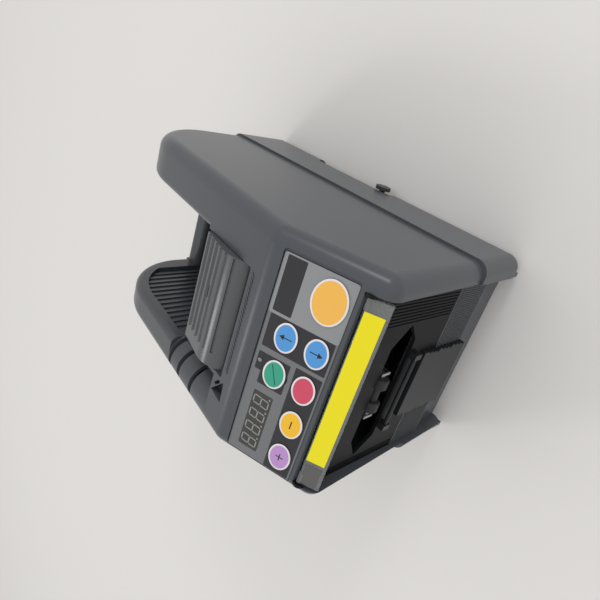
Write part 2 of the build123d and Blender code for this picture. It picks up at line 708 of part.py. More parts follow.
def panel_rect(a0, b0, width, rise, radius):
    return Pos(a0 + width / 2, b0 + rise / 2) * RectangleRounded(width, rise, radius)


def panel_disc(a, b, radius, low, high):
    return on_panel(Pos(a, b) * Circle(radius), low, high)


def panel_cuts():
    gap = KEY_GAP / 2
    cut = on_panel(panel_rect(-gap, -gap, OVERLAY_WIDTH + 2 * gap, OVERLAY_RISE + 2 * gap, OVERLAY_ROUND),
                   -OVERLAY_THICK, 5)
    cut = cut + on_panel(panel_rect(-gap, -gap, OVERLAY_WIDTH + SUNK_BORDER, OVERLAY_RISE + 2 * gap, OVERLAY_ROUND), 0, 5)
    for a, b, radius in KEYS.values():
        cut = cut + panel_disc(a, b, radius + KEY_GAP, -PANEL_WALL - 1, 0)
    cut = cut + on_panel(panel_rect(WINDOW_LEFT + 1, WINDOW_BOTTOM + 1, WINDOW_WIDTH - 2, WINDOW_RISE - 2, 0.5),
                         -PANEL_WALL - 1, 0)
    return cut


def panel_bosses():
    bosses = []
    for a, b in BOARD_SCREW_PLACES:
        boss = panel_disc(a, b, BOSS_R, -BOARD_DROP, -PANEL_WALL + 0.5)
        bosses.append(boss - panel_disc(a, b, BOARD_SCREW_R + RUN_GAP, -BOARD_DROP - 1, -PANEL_WALL - 1))
    return together(bosses)


def panel_overlay():
    sheet = on_panel(panel_rect(0, 0, OVERLAY_WIDTH, OVERLAY_RISE, OVERLAY_ROUND), -OVERLAY_THICK, 0)
    for a, b, radius in KEYS.values():
        sheet = sheet - panel_disc(a, b, radius + KEY_GAP, -5, 5)
    window = panel_rect(WINDOW_LEFT - WINDOW_GAP, WINDOW_BOTTOM - WINDOW_GAP, WINDOW_WIDTH + 2 * WINDOW_GAP,
                        WINDOW_RISE + 2 * WINDOW_GAP, 0.8)
    return sheet - on_panel(window, -5, 5)


def display_window():
    return on_panel(panel_rect(WINDOW_LEFT, WINDOW_BOTTOM, WINDOW_WIDTH, WINDOW_RISE, 0.7), -OVERLAY_THICK, 0)


def key_cap(a, b, radius):
    crown = loft([panel_plane().offset(0) * Pos(a, b) * Circle(radius),
                  panel_plane().offset(KEY_PROUD) * Pos(a, b) * Circle(radius - KEY_PROUD)])
    stem = panel_disc(a, b, radius, -PANEL_WALL - KEY_REST_GAP, 0)
    low = -PANEL_WALL - KEY_REST_GAP - KEY_FLANGE_THICK
    flange = panel_disc(a, b, radius + KEY_FLANGE, low, -PANEL_WALL - KEY_REST_GAP)
    return crown + stem + flange


def control_board():
    board = on_panel(panel_rect(BOARD_EDGE, -BOARD_LOWER, OVERLAY_WIDTH - 2 * BOARD_EDGE, OVERLAY_RISE, 1.0),
                     -BOARD_DROP - BOARD_THICK, -BOARD_DROP)
    for a, b in BOARD_SCREW_PLACES:
        board = board - panel_disc(a, b, BOARD_SCREW_R + 2 * RUN_GAP, -BIG / 4, 0)
    return board


def board_screws():
    screws = []
    for a, b in BOARD_SCREW_PLACES:
        head = panel_disc(a, b, 2 * BOARD_SCREW_R, -BOARD_DROP - BOARD_THICK - 1.5, -BOARD_DROP - BOARD_THICK)
        shank = panel_disc(a, b, BOARD_SCREW_R, -BOARD_DROP - BOARD_THICK - 0.5, -PANEL_WALL - 1.2)
        screws.append(head + shank)
    return apart(screws)


def dome_switches():
    top = -PANEL_WALL - KEY_REST_GAP - KEY_FLANGE_THICK - KEY_TRAVEL - 0.1
    switches = []
    for a, b, radius in KEYS.values():
        base = on_panel(Pos(a, b) * Rectangle(SWITCH_SIZE, SWITCH_SIZE), -BOARD_DROP, top - 0.6)
        switches.append(base + panel_disc(a, b, SWITCH_DOME_R, top - 1, top))
    return apart(switches)


def display_module():
    face = panel_rect(WINDOW_LEFT - 1, WINDOW_BOTTOM - 1, WINDOW_WIDTH + 2, WINDOW_RISE + 2, 0.4)
    return on_panel(face, -BOARD_DROP, -PANEL_WALL - 0.2)


# Front plate, outlet and cutter

def outlet_shape():
    c, h = OUTLET_CENTRE, OUTLET_HALF
    middle = (OUTLET_TOP + OUTLET_BOTTOM) / 2
    points = [(c - h, middle + 2), (c - h + 12, OUTLET_TOP), (c + h - 12, OUTLET_TOP), (c + h, middle - 1),
              (c + h - 10, OUTLET_BOTTOM), (c - h + 10, OUTLET_BOTTOM)]
    return outline(points, 1.0)


def front_plate():
    gap = 0.3
    back = PLATE_FRONT + PLATE_THICK
    plate = block(RECESS_LEFT + gap, RECESS_RIGHT - gap, PLATE_FRONT, back, PLATE_BOTTOM, PLATE_TOP)
    plate = plate - front_prism(outlet_shape(), PLATE_FRONT - 1, back + 1)
    for number in range(PLATE_RIB_COUNT):
        step = 1.5 + PLATE_RIB_PITCH * number
        for x in (RECESS_RIGHT - step, RECESS_LEFT + step):
            if abs(x - OUTLET_CENTRE) > OUTLET_HALF + 1.5:
                plate = plate - block(x - 0.4, x + 0.4, PLATE_FRONT - 1, PLATE_FRONT + 0.5,
                                      PLATE_BOTTOM + 2, PLATE_TOP - 2)
    return plate


def catch_plate():
    # Three stepped strips with toothed ends, below the outlet
    strips = []
    rise = (CATCH_TOP - CATCH_BOTTOM) / CATCH_STRIPS
    for number in range(CATCH_STRIPS):
        z0 = CATCH_BOTTOM + rise * number
        lean = CATCH_THICK - 1.2
        face = outline([(PLATE_FRONT, z0), (PLATE_FRONT - CATCH_THICK, z0 + 0.6),
                        (PLATE_FRONT - lean, z0 + rise - 0.1), (PLATE_FRONT, z0 + rise)])
        strips.append(side_prism(face, CATCH_LEFT, CATCH_RIGHT))
    plate = together(strips) + block(CATCH_LEFT, CATCH_RIGHT, PLATE_FRONT - 1.2, PLATE_FRONT, CATCH_BOTTOM, CATCH_TOP)
    teeth = int((CATCH_TOP - CATCH_BOTTOM) / 3.3)
    for number in range(teeth):
        z = CATCH_BOTTOM + 2 + 3.3 * number
        for x in (CATCH_LEFT, CATCH_RIGHT):
            notch = Pos(x, PLATE_FRONT - CATCH_THICK / 2, z) * Rot(0, 45, 0) * Box(1.5, CATCH_THICK + 2, 1.5)
            plate = plate - notch
    return plate


def rest_bar():
    # A thin bar on two brackets, under the outlet
    y = PLATE_FRONT - REST_BAR_OUT
    bar = rod("X", REST_BAR_LEFT, REST_BAR_RIGHT, y, REST_BAR_Z, REST_BAR_R)
    for x in (REST_BAR_LEFT + 2, REST_BAR_RIGHT - 2):
        reach = REST_BAR_R + BRACKET_HALF
        bar = bar + block(x - BRACKET_HALF, x + BRACKET_HALF, y - BRACKET_HALF, PLATE_FRONT, REST_BAR_Z - reach,
                          REST_BAR_Z + reach)
    return bar


def side_frame(left):
    x = FRAME_LEFT if left else FRAME_RIGHT
    peak, top = APEX_HEIGHT - FRAME_PEAK_DROP, APEX_HEIGHT - FRAME_TOP_DROP
    points = [
        (FRAME_FRONT, FLOOR_TOP), (FRAME_FRONT, BRIDGE_TOP), (FRAME_FRONT + TIE_ROD_FRONT, BRIDGE_TOP),
        (FRAME_FRONT + 3 * TIE_ROD_FRONT, peak), (FEED_Y - PINCH_R, peak), (FEED_Y - PINCH_R / 2, top),
        (FRAME_REAR, top), (FRAME_REAR, FLOOR_TOP),
    ]
    plate = side_prism(outline(points, [0.0, 2.0, 2.0, 2.0, 2.0, 0.0, 3.0, 0.0]), x, x + FRAME_THICK)
    inward = FRAME_FOOT if left else -FRAME_FOOT
    edge = x + FRAME_THICK if left else x
    plate = plate + block(edge, edge + inward, FRAME_FRONT + 10, FRAME_REAR - 10, FLOOR_TOP, FLOOR_TOP + FRAME_THICK)
    for y, z in (feed_axis(), pinch_axis()):
        plate = plate - rod("X", x - 1, x + FRAME_THICK + 1, y, z, BUSH_R)
    if left:
        motor_y, motor_z = pinion_axis()
        plate = plate - rod("X", x - 1, x + FRAME_THICK + 1, motor_y, motor_z, MOTOR_BOSS_R)
        idler_y, idler_z = idler_axis()
        plate = plate - rod("X", x - 1, x + FRAME_THICK + 1, idler_y, idler_z, IDLER_PIN_R)
    else:
        plate = plate - rod("X", x - 1, x + FRAME_THICK + 1, CRANK_Y, CRANK_Z, MOTOR_BOSS_R)
    for y in FRAME_SCREW_PLACES:
        plate = plate - rod("Z", 0, 20, edge + inward / 2, y, SCREW_R + RUN_GAP)
    return plate


def frame_screws():
    screws = []
    top = FLOOR_TOP + FRAME_THICK
    for x in (FRAME_LEFT + FRAME_THICK + FRAME_FOOT / 2, FRAME_RIGHT - FRAME_FOOT / 2):
        for y in FRAME_SCREW_PLACES:
            head = rod("Z", top, top + 2, x, y, SCREW_HEAD_R)
            screws.append(head + rod("Z", FLOOR_Z + 0.5, top + 1, x, y, SCREW_R))
    return apart(screws)


def tie_rods():
    left, right = FRAME_LEFT + FRAME_THICK, FRAME_RIGHT
    return apart([rod("X", left, right, y, z, TIE_ROD_R) for y, z in TIE_ROD_PLACES])


def blade_bar():
    y0 = BLADE_FRONT + BLADE_THICK + BLADE_SHEAR_GAP + BLADE_THICK
    bar = block(FRAME_LEFT + FRAME_THICK, FRAME_RIGHT, y0, y0 + BLADE_BAR_THICK, FIXED_EDGE_Z - FIXED_BLADE_HEIGHT, FIXED_EDGE_Z - 2)
    return bar - rod("Y", y0 + 2, y0 + BLADE_BAR_THICK + 1, 2, FIXED_EDGE_Z - 8, CRANK_SHAFT_R)


def fixed_blade():
    y0 = BLADE_FRONT + BLADE_THICK + BLADE_SHEAR_GAP
    face = outline([(y0, FIXED_EDGE_Z - FIXED_BLADE_HEIGHT), (y0, FIXED_EDGE_Z), (y0 + 0.3, FIXED_EDGE_Z),
                    (y0 + BLADE_THICK, FIXED_EDGE_Z - 2), (y0 + BLADE_THICK, FIXED_EDGE_Z - FIXED_BLADE_HEIGHT)])
    return side_prism(face, FRAME_LEFT + FRAME_THICK + 1, FRAME_RIGHT - 1)


def moving_blade():
    y0, y1 = BLADE_FRONT, BLADE_FRONT + BLADE_THICK
    face = outline([(y0, BLADE_EDGE_Z + 2), (y0, CARRIAGE_TOP), (y1, CARRIAGE_TOP), (y1, BLADE_EDGE_Z)])
    blade = side_prism(face, CARRIAGE_LEFT + 1, YOKE_LEFT - 1)
    for x in BLADE_SCREW_PLACES:
        blade = blade - rod("Y", y0 - 1, y1 + 1, x, CARRIAGE_TOP - 4, BLADE_SCREW_R + 2 * RUN_GAP)
    return blade


def blade_screws():
    screws = []
    for x in BLADE_SCREW_PLACES:
        head = rod("Y", BLADE_FRONT - 0.5, BLADE_FRONT, x, CARRIAGE_TOP - 4, BLADE_SCREW_HEAD_R)
        screws.append(head + rod("Y", BLADE_FRONT - 0.3, BLADE_FRONT + 4.5, x, CARRIAGE_TOP - 4, BLADE_SCREW_R))
    return apart(screws)


def crank_pin_place():
    angle = math.radians(CRANK_SWING)
    return CRANK_Y - CRANK_R * math.cos(angle), CRANK_Z + CRANK_R * math.sin(angle)


def blade_carriage():
    front = BLADE_FRONT + BLADE_THICK
    bar = block(CARRIAGE_LEFT, YOKE_LEFT, front, CARRIAGE_REAR, CARRIAGE_BOTTOM, CARRIAGE_TOP)
    pin_y, pin_z = crank_pin_place()
    tab = block(YOKE_LEFT, YOKE_RIGHT, front, YOKE_REAR, pin_z - 6, pin_z + 6)
    reach = CRANK_PIN_R + YOKE_SLACK
    slot = block(YOKE_LEFT - 1, YOKE_RIGHT + 1, CRANK_Y - CRANK_R - reach, pin_y + reach, pin_z - reach, pin_z + reach)
    carriage = bar + tab - slot
    for x in GUIDE_ROD_PLACES:
        carriage = carriage - rod("Z", CARRIAGE_BOTTOM - 1, CARRIAGE_TOP + 1, x, (front + CARRIAGE_REAR) / 2,
                                  GUIDE_ROD_R + RUN_GAP)
    for x in BLADE_SCREW_PLACES:
        carriage = carriage - rod("Y", front - 1, front + 4, x, CARRIAGE_TOP - 4, BLADE_SCREW_R + RUN_GAP)
    return carriage


def cutter_bridge():
    front = BLADE_FRONT + BLADE_THICK
    bridge = block(FRAME_LEFT + FRAME_THICK, FRAME_RIGHT, front, CARRIAGE_REAR + 1, BRIDGE_BOTTOM, BRIDGE_TOP)
    for x in GUIDE_ROD_PLACES:
        bridge = bridge - rod("Z", BRIDGE_BOTTOM - 1, BRIDGE_TOP + 1, x, (front + CARRIAGE_REAR) / 2, GUIDE_ROD_R)
    return bridge


def guide_rods():
    y = (BLADE_FRONT + BLADE_THICK + CARRIAGE_REAR) / 2
    low = CARRIAGE_BOTTOM - 4.5
    return apart([rod("Z", low, BRIDGE_TOP, x, y, GUIDE_ROD_R) for x in GUIDE_ROD_PLACES])


def cutter_crank():
    pin_y, pin_z = crank_pin_place()
    disc = rod("X", CRANK_DISC_LEFT, CRANK_DISC_LEFT + CRANK_DISC_THICK, CRANK_Y, CRANK_Z, CRANK_DISC_R)
    pin = rod("X", YOKE_LEFT - 0.8, CRANK_DISC_LEFT + 1, pin_y, pin_z, CRANK_PIN_R)
    shaft = rod("X", CRANK_DISC_LEFT + 1, FRAME_RIGHT + FRAME_THICK + 8, CRANK_Y, CRANK_Z, CRANK_SHAFT_R)
    return disc + pin + shaft


def cutter_motor():
    start = FRAME_RIGHT + FRAME_THICK
    can = rod("X", start, start + CUTTER_MOTOR_LENGTH, CRANK_Y, CRANK_Z, CUTTER_MOTOR_R)
    boss = rod("X", FRAME_RIGHT, start + 1, CRANK_Y, CRANK_Z, MOTOR_BOSS_R - RUN_GAP)
    lugs = block(start, start + 1.5, CRANK_Y - CUTTER_LUG_REACH, CRANK_Y + CUTTER_LUG_REACH,
                 CRANK_Z - MOTOR_BOSS_R, CRANK_Z + MOTOR_BOSS_R)
    bore = rod("X", start - 2, start + 8.5, CRANK_Y, CRANK_Z, CRANK_SHAFT_R + RUN_GAP)
    return can + boss + lugs - bore


# Outlet wheels

def wheel_bracket():
    # Two ears hang behind the front plate and reach forward through the outlet
    back = PLATE_FRONT + PLATE_THICK + 0.3
    front = BLADE_FRONT + BLADE_THICK
    face = outline([(back, BRIDGE_TOP), (front - 2.3, BRIDGE_TOP), (front - 2.3, WHEEL_Z - 2.5),
                    (WHEEL_Y - 2.2, WHEEL_Z - 2.5), (WHEEL_Y - 2.2, OUTLET_TOP - 0.8), (back, OUTLET_TOP - 0.8)])
    left, right = wheel_ears()
    bracket = side_prism(face, left, left + 1.5) + side_prism(face, right - 1.5, right)
    bracket = bracket + block(left, right, back, front, BRIDGE_TOP - 2, BRIDGE_TOP)
    return bracket - rod("X", left - 1, right + 1, WHEEL_Y, WHEEL_Z, WHEEL_AXLE_R)


def wheel_ears():
    reach = WHEEL_WIDTH / 2 + 4.0
    return min(WHEEL_PLACES) - reach, max(WHEEL_PLACES) + reach


def outlet_axle():
    left, right = wheel_ears()
    return rod("X", left, right, WHEEL_Y, WHEEL_Z, WHEEL_AXLE_R)


def outlet_wheels():
    hub = rod("X", min(WHEEL_PLACES) - WHEEL_WIDTH / 2, max(WHEEL_PLACES) + WHEEL_WIDTH / 2, WHEEL_Y, WHEEL_Z, 2.4)
    for x in WHEEL_PLACES:
        wheel = rod("X", x - WHEEL_WIDTH / 2, x + WHEEL_WIDTH / 2, WHEEL_Y, WHEEL_Z, WHEEL_R)
        hub = hub + chamfer(wheel.edges(), 0.6)
    return hub - rod("X", -BIG, BIG, WHEEL_Y, WHEEL_Z, WHEEL_AXLE_R + RUN_GAP)


# Feed rollers and gears

def feed_axis():
    return FEED_Y, FEED_Z


def pinch_axis():
    reach = FEED_R + PINCH_R + NIP_GAP
    angle = math.radians(PINCH_ANGLE)
    return FEED_Y + reach * math.cos(angle), FEED_Z + reach * math.sin(angle)


def idler_axis():
    return FEED_Y, FEED_Z - GEAR_MODULE * (FEED_TEETH + IDLER_TEETH) / 2


def pinion_axis():
    y, z = idler_axis()
    return y, z - GEAR_MODULE * (IDLER_TEETH + PINION_TEETH) / 2


def gear(teeth, axis_place, bore, turn):
    # turn is the angle of one tooth's middle, in degrees from +Y towards +Z
    pitch_r = GEAR_MODULE * teeth / 2
    step = 2 * math.pi / teeth
    stations = [(pitch_r - 1.25 * GEAR_MODULE, 0.30), (pitch_r, 0.215), (pitch_r + GEAR_MODULE, 0.11)]
    points = []
    for number in range(teeth):
        middle = number * step + math.radians(turn)
        for radius, share in stations:
            angle = middle - share * step
            points.append((radius * math.cos(angle), radius * math.sin(angle)))
        for radius, share in reversed(stations):
            angle = middle + share * step
            points.append((radius * math.cos(angle), radius * math.sin(angle)))
    y, z = axis_place
    face = make_face(Polyline(*points, close=True).edges())
    right = FRAME_LEFT - GEAR_GAP
    wheel = Pos(0, y, z) * side_prism(face, right - GEAR_FACE, right)
    if bore:
        wheel = wheel - rod("X", right - GEAR_FACE - 1, right + 1, y, z, bore)
    return wheel


def roller_shaft(axis_place, left_end):
    y, z = axis_place
    return rod("X", left_end, FRAME_RIGHT + FRAME_THICK + 3, y, z, SHAFT_R)


def ring_places():
    first = FRAME_LEFT + FRAME_THICK + RING_LEFT_GAP
    last = FRAME_RIGHT - RING_RIGHT_GAP
    return [first + (last - first) * number / (RING_COUNT - 1) for number in range(RING_COUNT)]


def feed_roller():
    y, z = feed_axis()
    inner_left, inner_right = FRAME_LEFT + FRAME_THICK, FRAME_RIGHT
    core = rod("X", inner_left + 2.5, inner_right - 2.5, y, z, SHAFT_R + 2)
    for x in ring_places():
        core = core + rod("X", x - RING_WIDTH / 2, x + RING_WIDTH / 2, y, z, FEED_R)
    return core - rod("X", -BIG, BIG, y, z, SHAFT_R)


def pinch_roller():
    y, z = pinch_axis()
    inner_left, inner_right = FRAME_LEFT + FRAME_THICK, FRAME_RIGHT
    core = rod("X", inner_left + 2.5, inner_right - 2.5, y, z, SHAFT_R + 1)
    for x in ring_places():
        core = core + rod("X", x - RING_WIDTH / 2, x + RING_WIDTH / 2, y, z, PINCH_R)
    return core - rod("X", -BIG, BIG, y, z, SHAFT_R)


def roller_bushes():
    bushes = []
    for y, z in (feed_axis(), pinch_axis()):
        for x, way in ((FRAME_LEFT, 1), (FRAME_RIGHT + FRAME_THICK, -1)):
            sleeve = rod("X", x, x + way * (FRAME_THICK + 1.5), y, z, BUSH_R)
            sleeve = sleeve + rod("X", x + way * FRAME_THICK, x + way * (FRAME_THICK + 1.5), y, z, BUSH_R + 1.5)
            bushes.append(sleeve - rod("X", -BIG, BIG, y, z, SHAFT_R + RUN_GAP))
    return apart(bushes)


def feed_motor():
    y, z = pinion_axis()
    start = FRAME_LEFT + FRAME_THICK
    can = rod("X", start, start + FEED_MOTOR_LENGTH, y, z, FEED_MOTOR_R)
    tail = rod("X", start + FEED_MOTOR_LENGTH, start + FEED_MOTOR_LENGTH + 3, y, z, MOTOR_BOSS_R)
    boss = rod("X", FRAME_LEFT, start + 1, y, z, MOTOR_BOSS_R - RUN_GAP)
    bore = rod("X", start - 2, start + 8, y, z, SHAFT_R - 1 + RUN_GAP)
    return can + tail + boss - bore


def motor_pinion():
    y, z = pinion_axis()
    wheel = gear(PINION_TEETH, (y, z), 0, 90 + 180.0 / PINION_TEETH)
    return wheel + rod("X", FRAME_LEFT - GEAR_GAP - GEAR_FACE, FRAME_LEFT + FRAME_THICK + 7.5, y, z, SHAFT_R - 1)


def idler_gear():
    wheel = gear(IDLER_TEETH, idler_axis(), IDLER_PIN_R + RUN_GAP, 90)
    return wheel


def idler_pin():
    y, z = idler_axis()
    left = FRAME_LEFT - GEAR_GAP - GEAR_FACE
    pin = rod("X", left - 0.4, FRAME_LEFT + FRAME_THICK + 1, y, z, IDLER_PIN_R)
    pin = pin + rod("X", left - 1.6, left - 0.4, y, z, IDLER_PIN_R + 1.5)
    return pin + rod("X", FRAME_LEFT - GEAR_GAP + 0.3, FRAME_LEFT, y, z, IDLER_PIN_R + 1.2)


# Tape guide

def guide_outline(inset):
    radius = GUIDE_ARC - inset
    turn = math.radians(GUIDE_REAR_SLOPE)
    crest = (GUIDE_ARC_Y + radius * math.sin(turn), GUIDE_ARC_Z + radius * math.cos(turn))
    rear_y_place = GUIDE_REAR - inset
    rear = (rear_y_place, crest[1] - (rear_y_place - crest[0]) * math.tan(turn))
    front_z = GUIDE_SKIRT_Z - inset * 2
    front_angle = math.pi - math.asin(max(-1.0, min(1.0, (GUIDE_SKIRT_Z - GUIDE_ARC_Z) / GUIDE_ARC)))
    start = (GUIDE_ARC_Y + radius * math.cos(front_angle), GUIDE_ARC_Z + radius * math.sin(front_angle))
    half_way = (front_angle + math.pi / 2 - turn) / 2
    middle = (GUIDE_ARC_Y + radius * math.cos(half_way), GUIDE_ARC_Z + radius * math.sin(half_way))
    base = (start[0], front_z)
    heel = (rear[0], front_z)
    edges = [ThreePointArc(start, middle, crest), Line(crest, rear), Line(rear, heel), Line(heel, base)]
    if abs(start[1] - front_z) > 0.001:
        edges.append(Line(base, start))
    return make_face(edges)


def guide_top(y):
    turn = math.radians(GUIDE_REAR_SLOPE)
    crest_y = GUIDE_ARC_Y + GUIDE_ARC * math.sin(turn)
    if y > crest_y:
        return GUIDE_ARC_Z + GUIDE_ARC * math.cos(turn) - (y - crest_y) * math.tan(turn), GUIDE_REAR_SLOPE
    rise = math.sqrt(GUIDE_ARC ** 2 - (y - GUIDE_ARC_Y) ** 2)
    return GUIDE_ARC_Z + rise, math.degrees(math.asin((y - GUIDE_ARC_Y) / GUIDE_ARC))


def tape_guide():
    left, right = INLET_LEFT + GUIDE_GAP, WELL_RIGHT - GUIDE_GAP
    body = side_prism(guide_outline(0.0), left, right)
    hollow = side_prism(guide_outline(GUIDE_WALL), left + GUIDE_WALL, right - GUIDE_WALL)
    hollow = hollow + block(left + GUIDE_WALL, right - GUIDE_WALL, GUIDE_ARC_Y - GUIDE_ARC + GUIDE_WALL,
                            GUIDE_REAR - GUIDE_WALL, 0, GUIDE_SKIRT_Z + 1)
    body = body - hollow
    length = right - left - GUIDE_RIB_INSET - 0.5
    middle = left + GUIDE_RIB_INSET + length / 2
    for back in GUIDE_RIB_BACKS:
        y = GUIDE_ARC_Y + back
        z, slope = guide_top(y)
        body = body + Pos(middle, y, z) * Rot(-slope, 0, 0) * Box(length, GUIDE_RIB_WIDTH, 2 * GUIDE_RIB_HEIGHT)
    z, slope = guide_top(GUIDE_GROOVE)
    body = body - Pos(middle, GUIDE_GROOVE, z) * Rot(-slope, 0, 0) * Box(length, 1.6, 1.6)
    z, slope = guide_top(GUIDE_SLOT)
    body = body - Pos(10, GUIDE_SLOT, z) * Rot(-slope, 0, 0) * Box(7, 1.2, 12)
    knuckle = rod("X", left, left + 6, GUIDE_PIN_Y, GUIDE_PIN_Z, 3.0)
    knuckle = knuckle + rod("X", right - 6, right, GUIDE_PIN_Y, GUIDE_PIN_Z, 3.0)
    knuckle = knuckle + block(left, left + 6, GUIDE_PIN_Y, GUIDE_REAR - 0.5, GUIDE_PIN_Z, GUIDE_PIN_Z + 4)
    knuckle = knuckle + block(right - 6, right, GUIDE_PIN_Y, GUIDE_REAR - 0.5, GUIDE_PIN_Z, GUIDE_PIN_Z + 4)
    body = body + knuckle
    return body - rod("X", left - 1, right + 1, GUIDE_PIN_Y, GUIDE_PIN_Z, GUIDE_PIN_R + RUN_GAP)


def guide_pin():
    return rod("X", INLET_LEFT - WALL, WELL_RIGHT + WALL, GUIDE_PIN_Y, GUIDE_PIN_Z, GUIDE_PIN_R)


# Safety cover

def cover_slope():
    return math.atan2(COVER_REAR_Z - COVER_FRONT_Z, COVER_REAR - COVER_FRONT)


def cover_hinge():
    # The hinge line lies in the middle of the cover's thickness, close behind its rear edge
    angle = cover_slope()
    y = COVER_REAR - COVER_HINGE_GAP - COVER_BARREL_R
    top = COVER_REAR_Z + (y - COVER_REAR) * math.tan(angle)
    return y, top - COVER_THICK / 2 / math.cos(angle)


def safety_cover():
    angle = cover_slope()
    half = COVER_THICK / 2
    hinge_y, hinge_z = cover_hinge()
    up = (-math.sin(angle) * half, math.cos(angle) * half)
    front = (COVER_FRONT, COVER_FRONT_Z)
    face = outline([front, (hinge_y + up[0], hinge_z + up[1]), (hinge_y - up[0], hinge_z - up[1]),
                    (front[0] - 2 * up[0], front[1] - 2 * up[1])], [1.0, 0.0, 0.0, 0.6])
    left, right = RECESS_LEFT + COVER_GAP, RECESS_RIGHT - COVER_GAP
    sheet = side_prism(face, left, right) + rod("X", left, right, hinge_y, hinge_z, half)
    for start, end in ((left, left + 6), (right - 6, right)):
        sheet = sheet + rod("X", start, end, hinge_y, hinge_z, COVER_BARREL_R)
    return sheet + rod("X", left - 1.5, right + 1.5, hinge_y, hinge_z, COVER_STUB_R)


def cover_label():
    angle = cover_slope()
    up = (-math.sin(angle) * LABEL_THICK, math.cos(angle) * LABEL_THICK)
    hinge_y, _ = cover_hinge()
    start_y = COVER_FRONT + (hinge_y - COVER_FRONT - LABEL_RISE * math.cos(angle)) / 2 + 0.6
    start = (start_y, COVER_FRONT_Z + (start_y - COVER_FRONT) * math.tan(angle))
    end = (start[0] + LABEL_RISE * math.cos(angle), start[1] + LABEL_RISE * math.sin(angle))
    face = outline([start, end, (end[0] + up[0], end[1] + up[1]), (start[0] + up[0], start[1] + up[1])])
    return side_prism(face, LABEL_LEFT, LABEL_RIGHT)


def cover_brackets():
    # A round plate on each cheek carries the cover's stub
    hinge_y, hinge_z = cover_hinge()
    brackets = []
    for edge, way in ((RECESS_LEFT, 1), (RECESS_RIGHT, -1)):
        plate = rod("X", edge, edge + way * (COVER_GAP - 0.4), hinge_y, hinge_z, COVER_BRACKET_R)
        plate = plate & block(-BIG, BIG, -BIG, COVER_REAR, 0, BIG)
        brackets.append(plate - rod("X", -BIG, BIG, hinge_y, hinge_z, COVER_STUB_R + RUN_GAP))
    return apart(brackets)


# Roll cradle

def cradle_axles():
    axles = []
    z = WELL_FLOOR + CRADLE_LIFT + CRADLE_R
    for place in CRADLE_PLACES:
        axles.append(rod("X", WELL_LEFT - 5, WELL_RIGHT + WALL, place, z, SHAFT_R))
    return apart(axles)


def cradle_roller(place):
    z = WELL_FLOOR + CRADLE_LIFT + CRADLE_R
    left, right = WELL_LEFT + CRADLE_GAP, WELL_RIGHT - CRADLE_GAP
    roller = rod("X", left, right, place, z, CRADLE_R)
    roller = chamfer(roller.edges(), 0.8)
    for x in (left + 12, right - 12):
        groove = rod("X", x - 1, x + 1, place, z, CRADLE_R + 1) - rod("X", x - 1, x + 1, place, z, CRADLE_R - 0.8)
        roller = roller - groove
    return roller - rod("X", -BIG, BIG, place, z, SHAFT_R + RUN_GAP)


# Base

def base_tray():
    outer = rounded_block(lower_outline(), WIDTH / 2, SIDE_ROUND, True)
    side = WIDTH / 2 - WALL
    inner_front = front_y(0) + WALL
    inner = block(-side, side, inner_front, TRAY_REAR, FLOOR_TOP, BAND_HEIGHT - RIM_HEIGHT)
    inner = fillet(inner.edges().filter_by(Axis.Z), SIDE_ROUND - WALL)
    mouth = block(-HALF + WALL, HALF - WALL, inner_front, REAR_SPLIT_Y - WALL, FLOOR_TOP, BIG)
    inner = inner + fillet(mouth.edges().filter_by(Axis.Z), SIDE_ROUND - WALL)
    under = block(-HALF + WALL, HALF - WALL, front_y(0) + 12, TRAY_REAR, -1, FLOOR_Z)
    tray = outer - inner - under
    tray = tray - block(RECESS_LEFT, RECESS_RIGHT, -BIG, PLATE_FRONT + APRON_SETBACK + WALL, -1, BAND_HEIGHT + 1)
    tray = tray + apron()
    for place in SCREW_PLACES:
        for side in (-1, 1):
            post = rod("Z", FLOOR_Z, BAND_HEIGHT, side * SCREW_X, place, SCREW_POST_R)
            web = block(side * SCREW_X, side * (HALF - WALL / 2 + BAND_STEP), place - 1, place + 1, FLOOR_Z, BAND_HEIGHT)
            tray = tray + ((post + web) & outer)
            tray = tray - rod("Z", FLOOR_Z - 1, FLOOR_Z + SCREW_HEAD_DEPTH, side * SCREW_X, place, SCREW_HEAD_R + 0.3)
            tray = tray - rod("Z", 0, BAND_HEIGHT + 1, side * SCREW_X, place, SCREW_R + RUN_GAP)
    notch_y = -NOTCH_BACK + LEVER_Y
    notch = block(HALF - WALL, WIDTH, notch_y - NOTCH_WIDTH / 2, notch_y + NOTCH_WIDTH / 2, 0, NOTCH_HEIGHT)
    tray = tray - side_arch() - rear_openings() - notch
    for x in (FRAME_LEFT + FRAME_THICK + FRAME_FOOT / 2, FRAME_RIGHT - FRAME_FOOT / 2):
        for y in FRAME_SCREW_PLACES:
            tray = tray - rod("Z", FLOOR_Z - 1, FLOOR_TOP + 1, x, y, SCREW_R + RUN_GAP)
    for x in (-FEET_X, FEET_X):
        for y in (-FEET_Y, FEET_Y):
            tray = tray - rod("Z", -1, FLOOR_Z + 1, x, y, FOOT_R + RUN_GAP)
    return tray


def apron():
    # The wall between the feet: flush with the front plate above, set back below
    left, right = RECESS_LEFT, RECESS_RIGHT
    upper = block(left + 0.3, right - 0.3, PLATE_FRONT, PLATE_FRONT + WALL, APRON_BOTTOM, PLATE_BOTTOM)
    low_y = PLATE_FRONT + APRON_SETBACK
    lower = block(left, right, low_y, low_y + WALL, FLOOR_Z, APRON_BOTTOM + WALL)
    step = block(left, right, PLATE_FRONT, low_y + WALL, APRON_BOTTOM, APRON_BOTTOM + WALL)
    floor = block(left, right, low_y, low_y + 6, FLOOR_Z, FLOOR_TOP)
    sides = together([
        block(edge, edge + way * WALL, front_y(BAND_HEIGHT) + 1, PLATE_FRONT + 9, FLOOR_Z, BAND_HEIGHT)
        for edge, way in ((left, -1), (right, 1))])
    return upper + lower + step + floor + sides


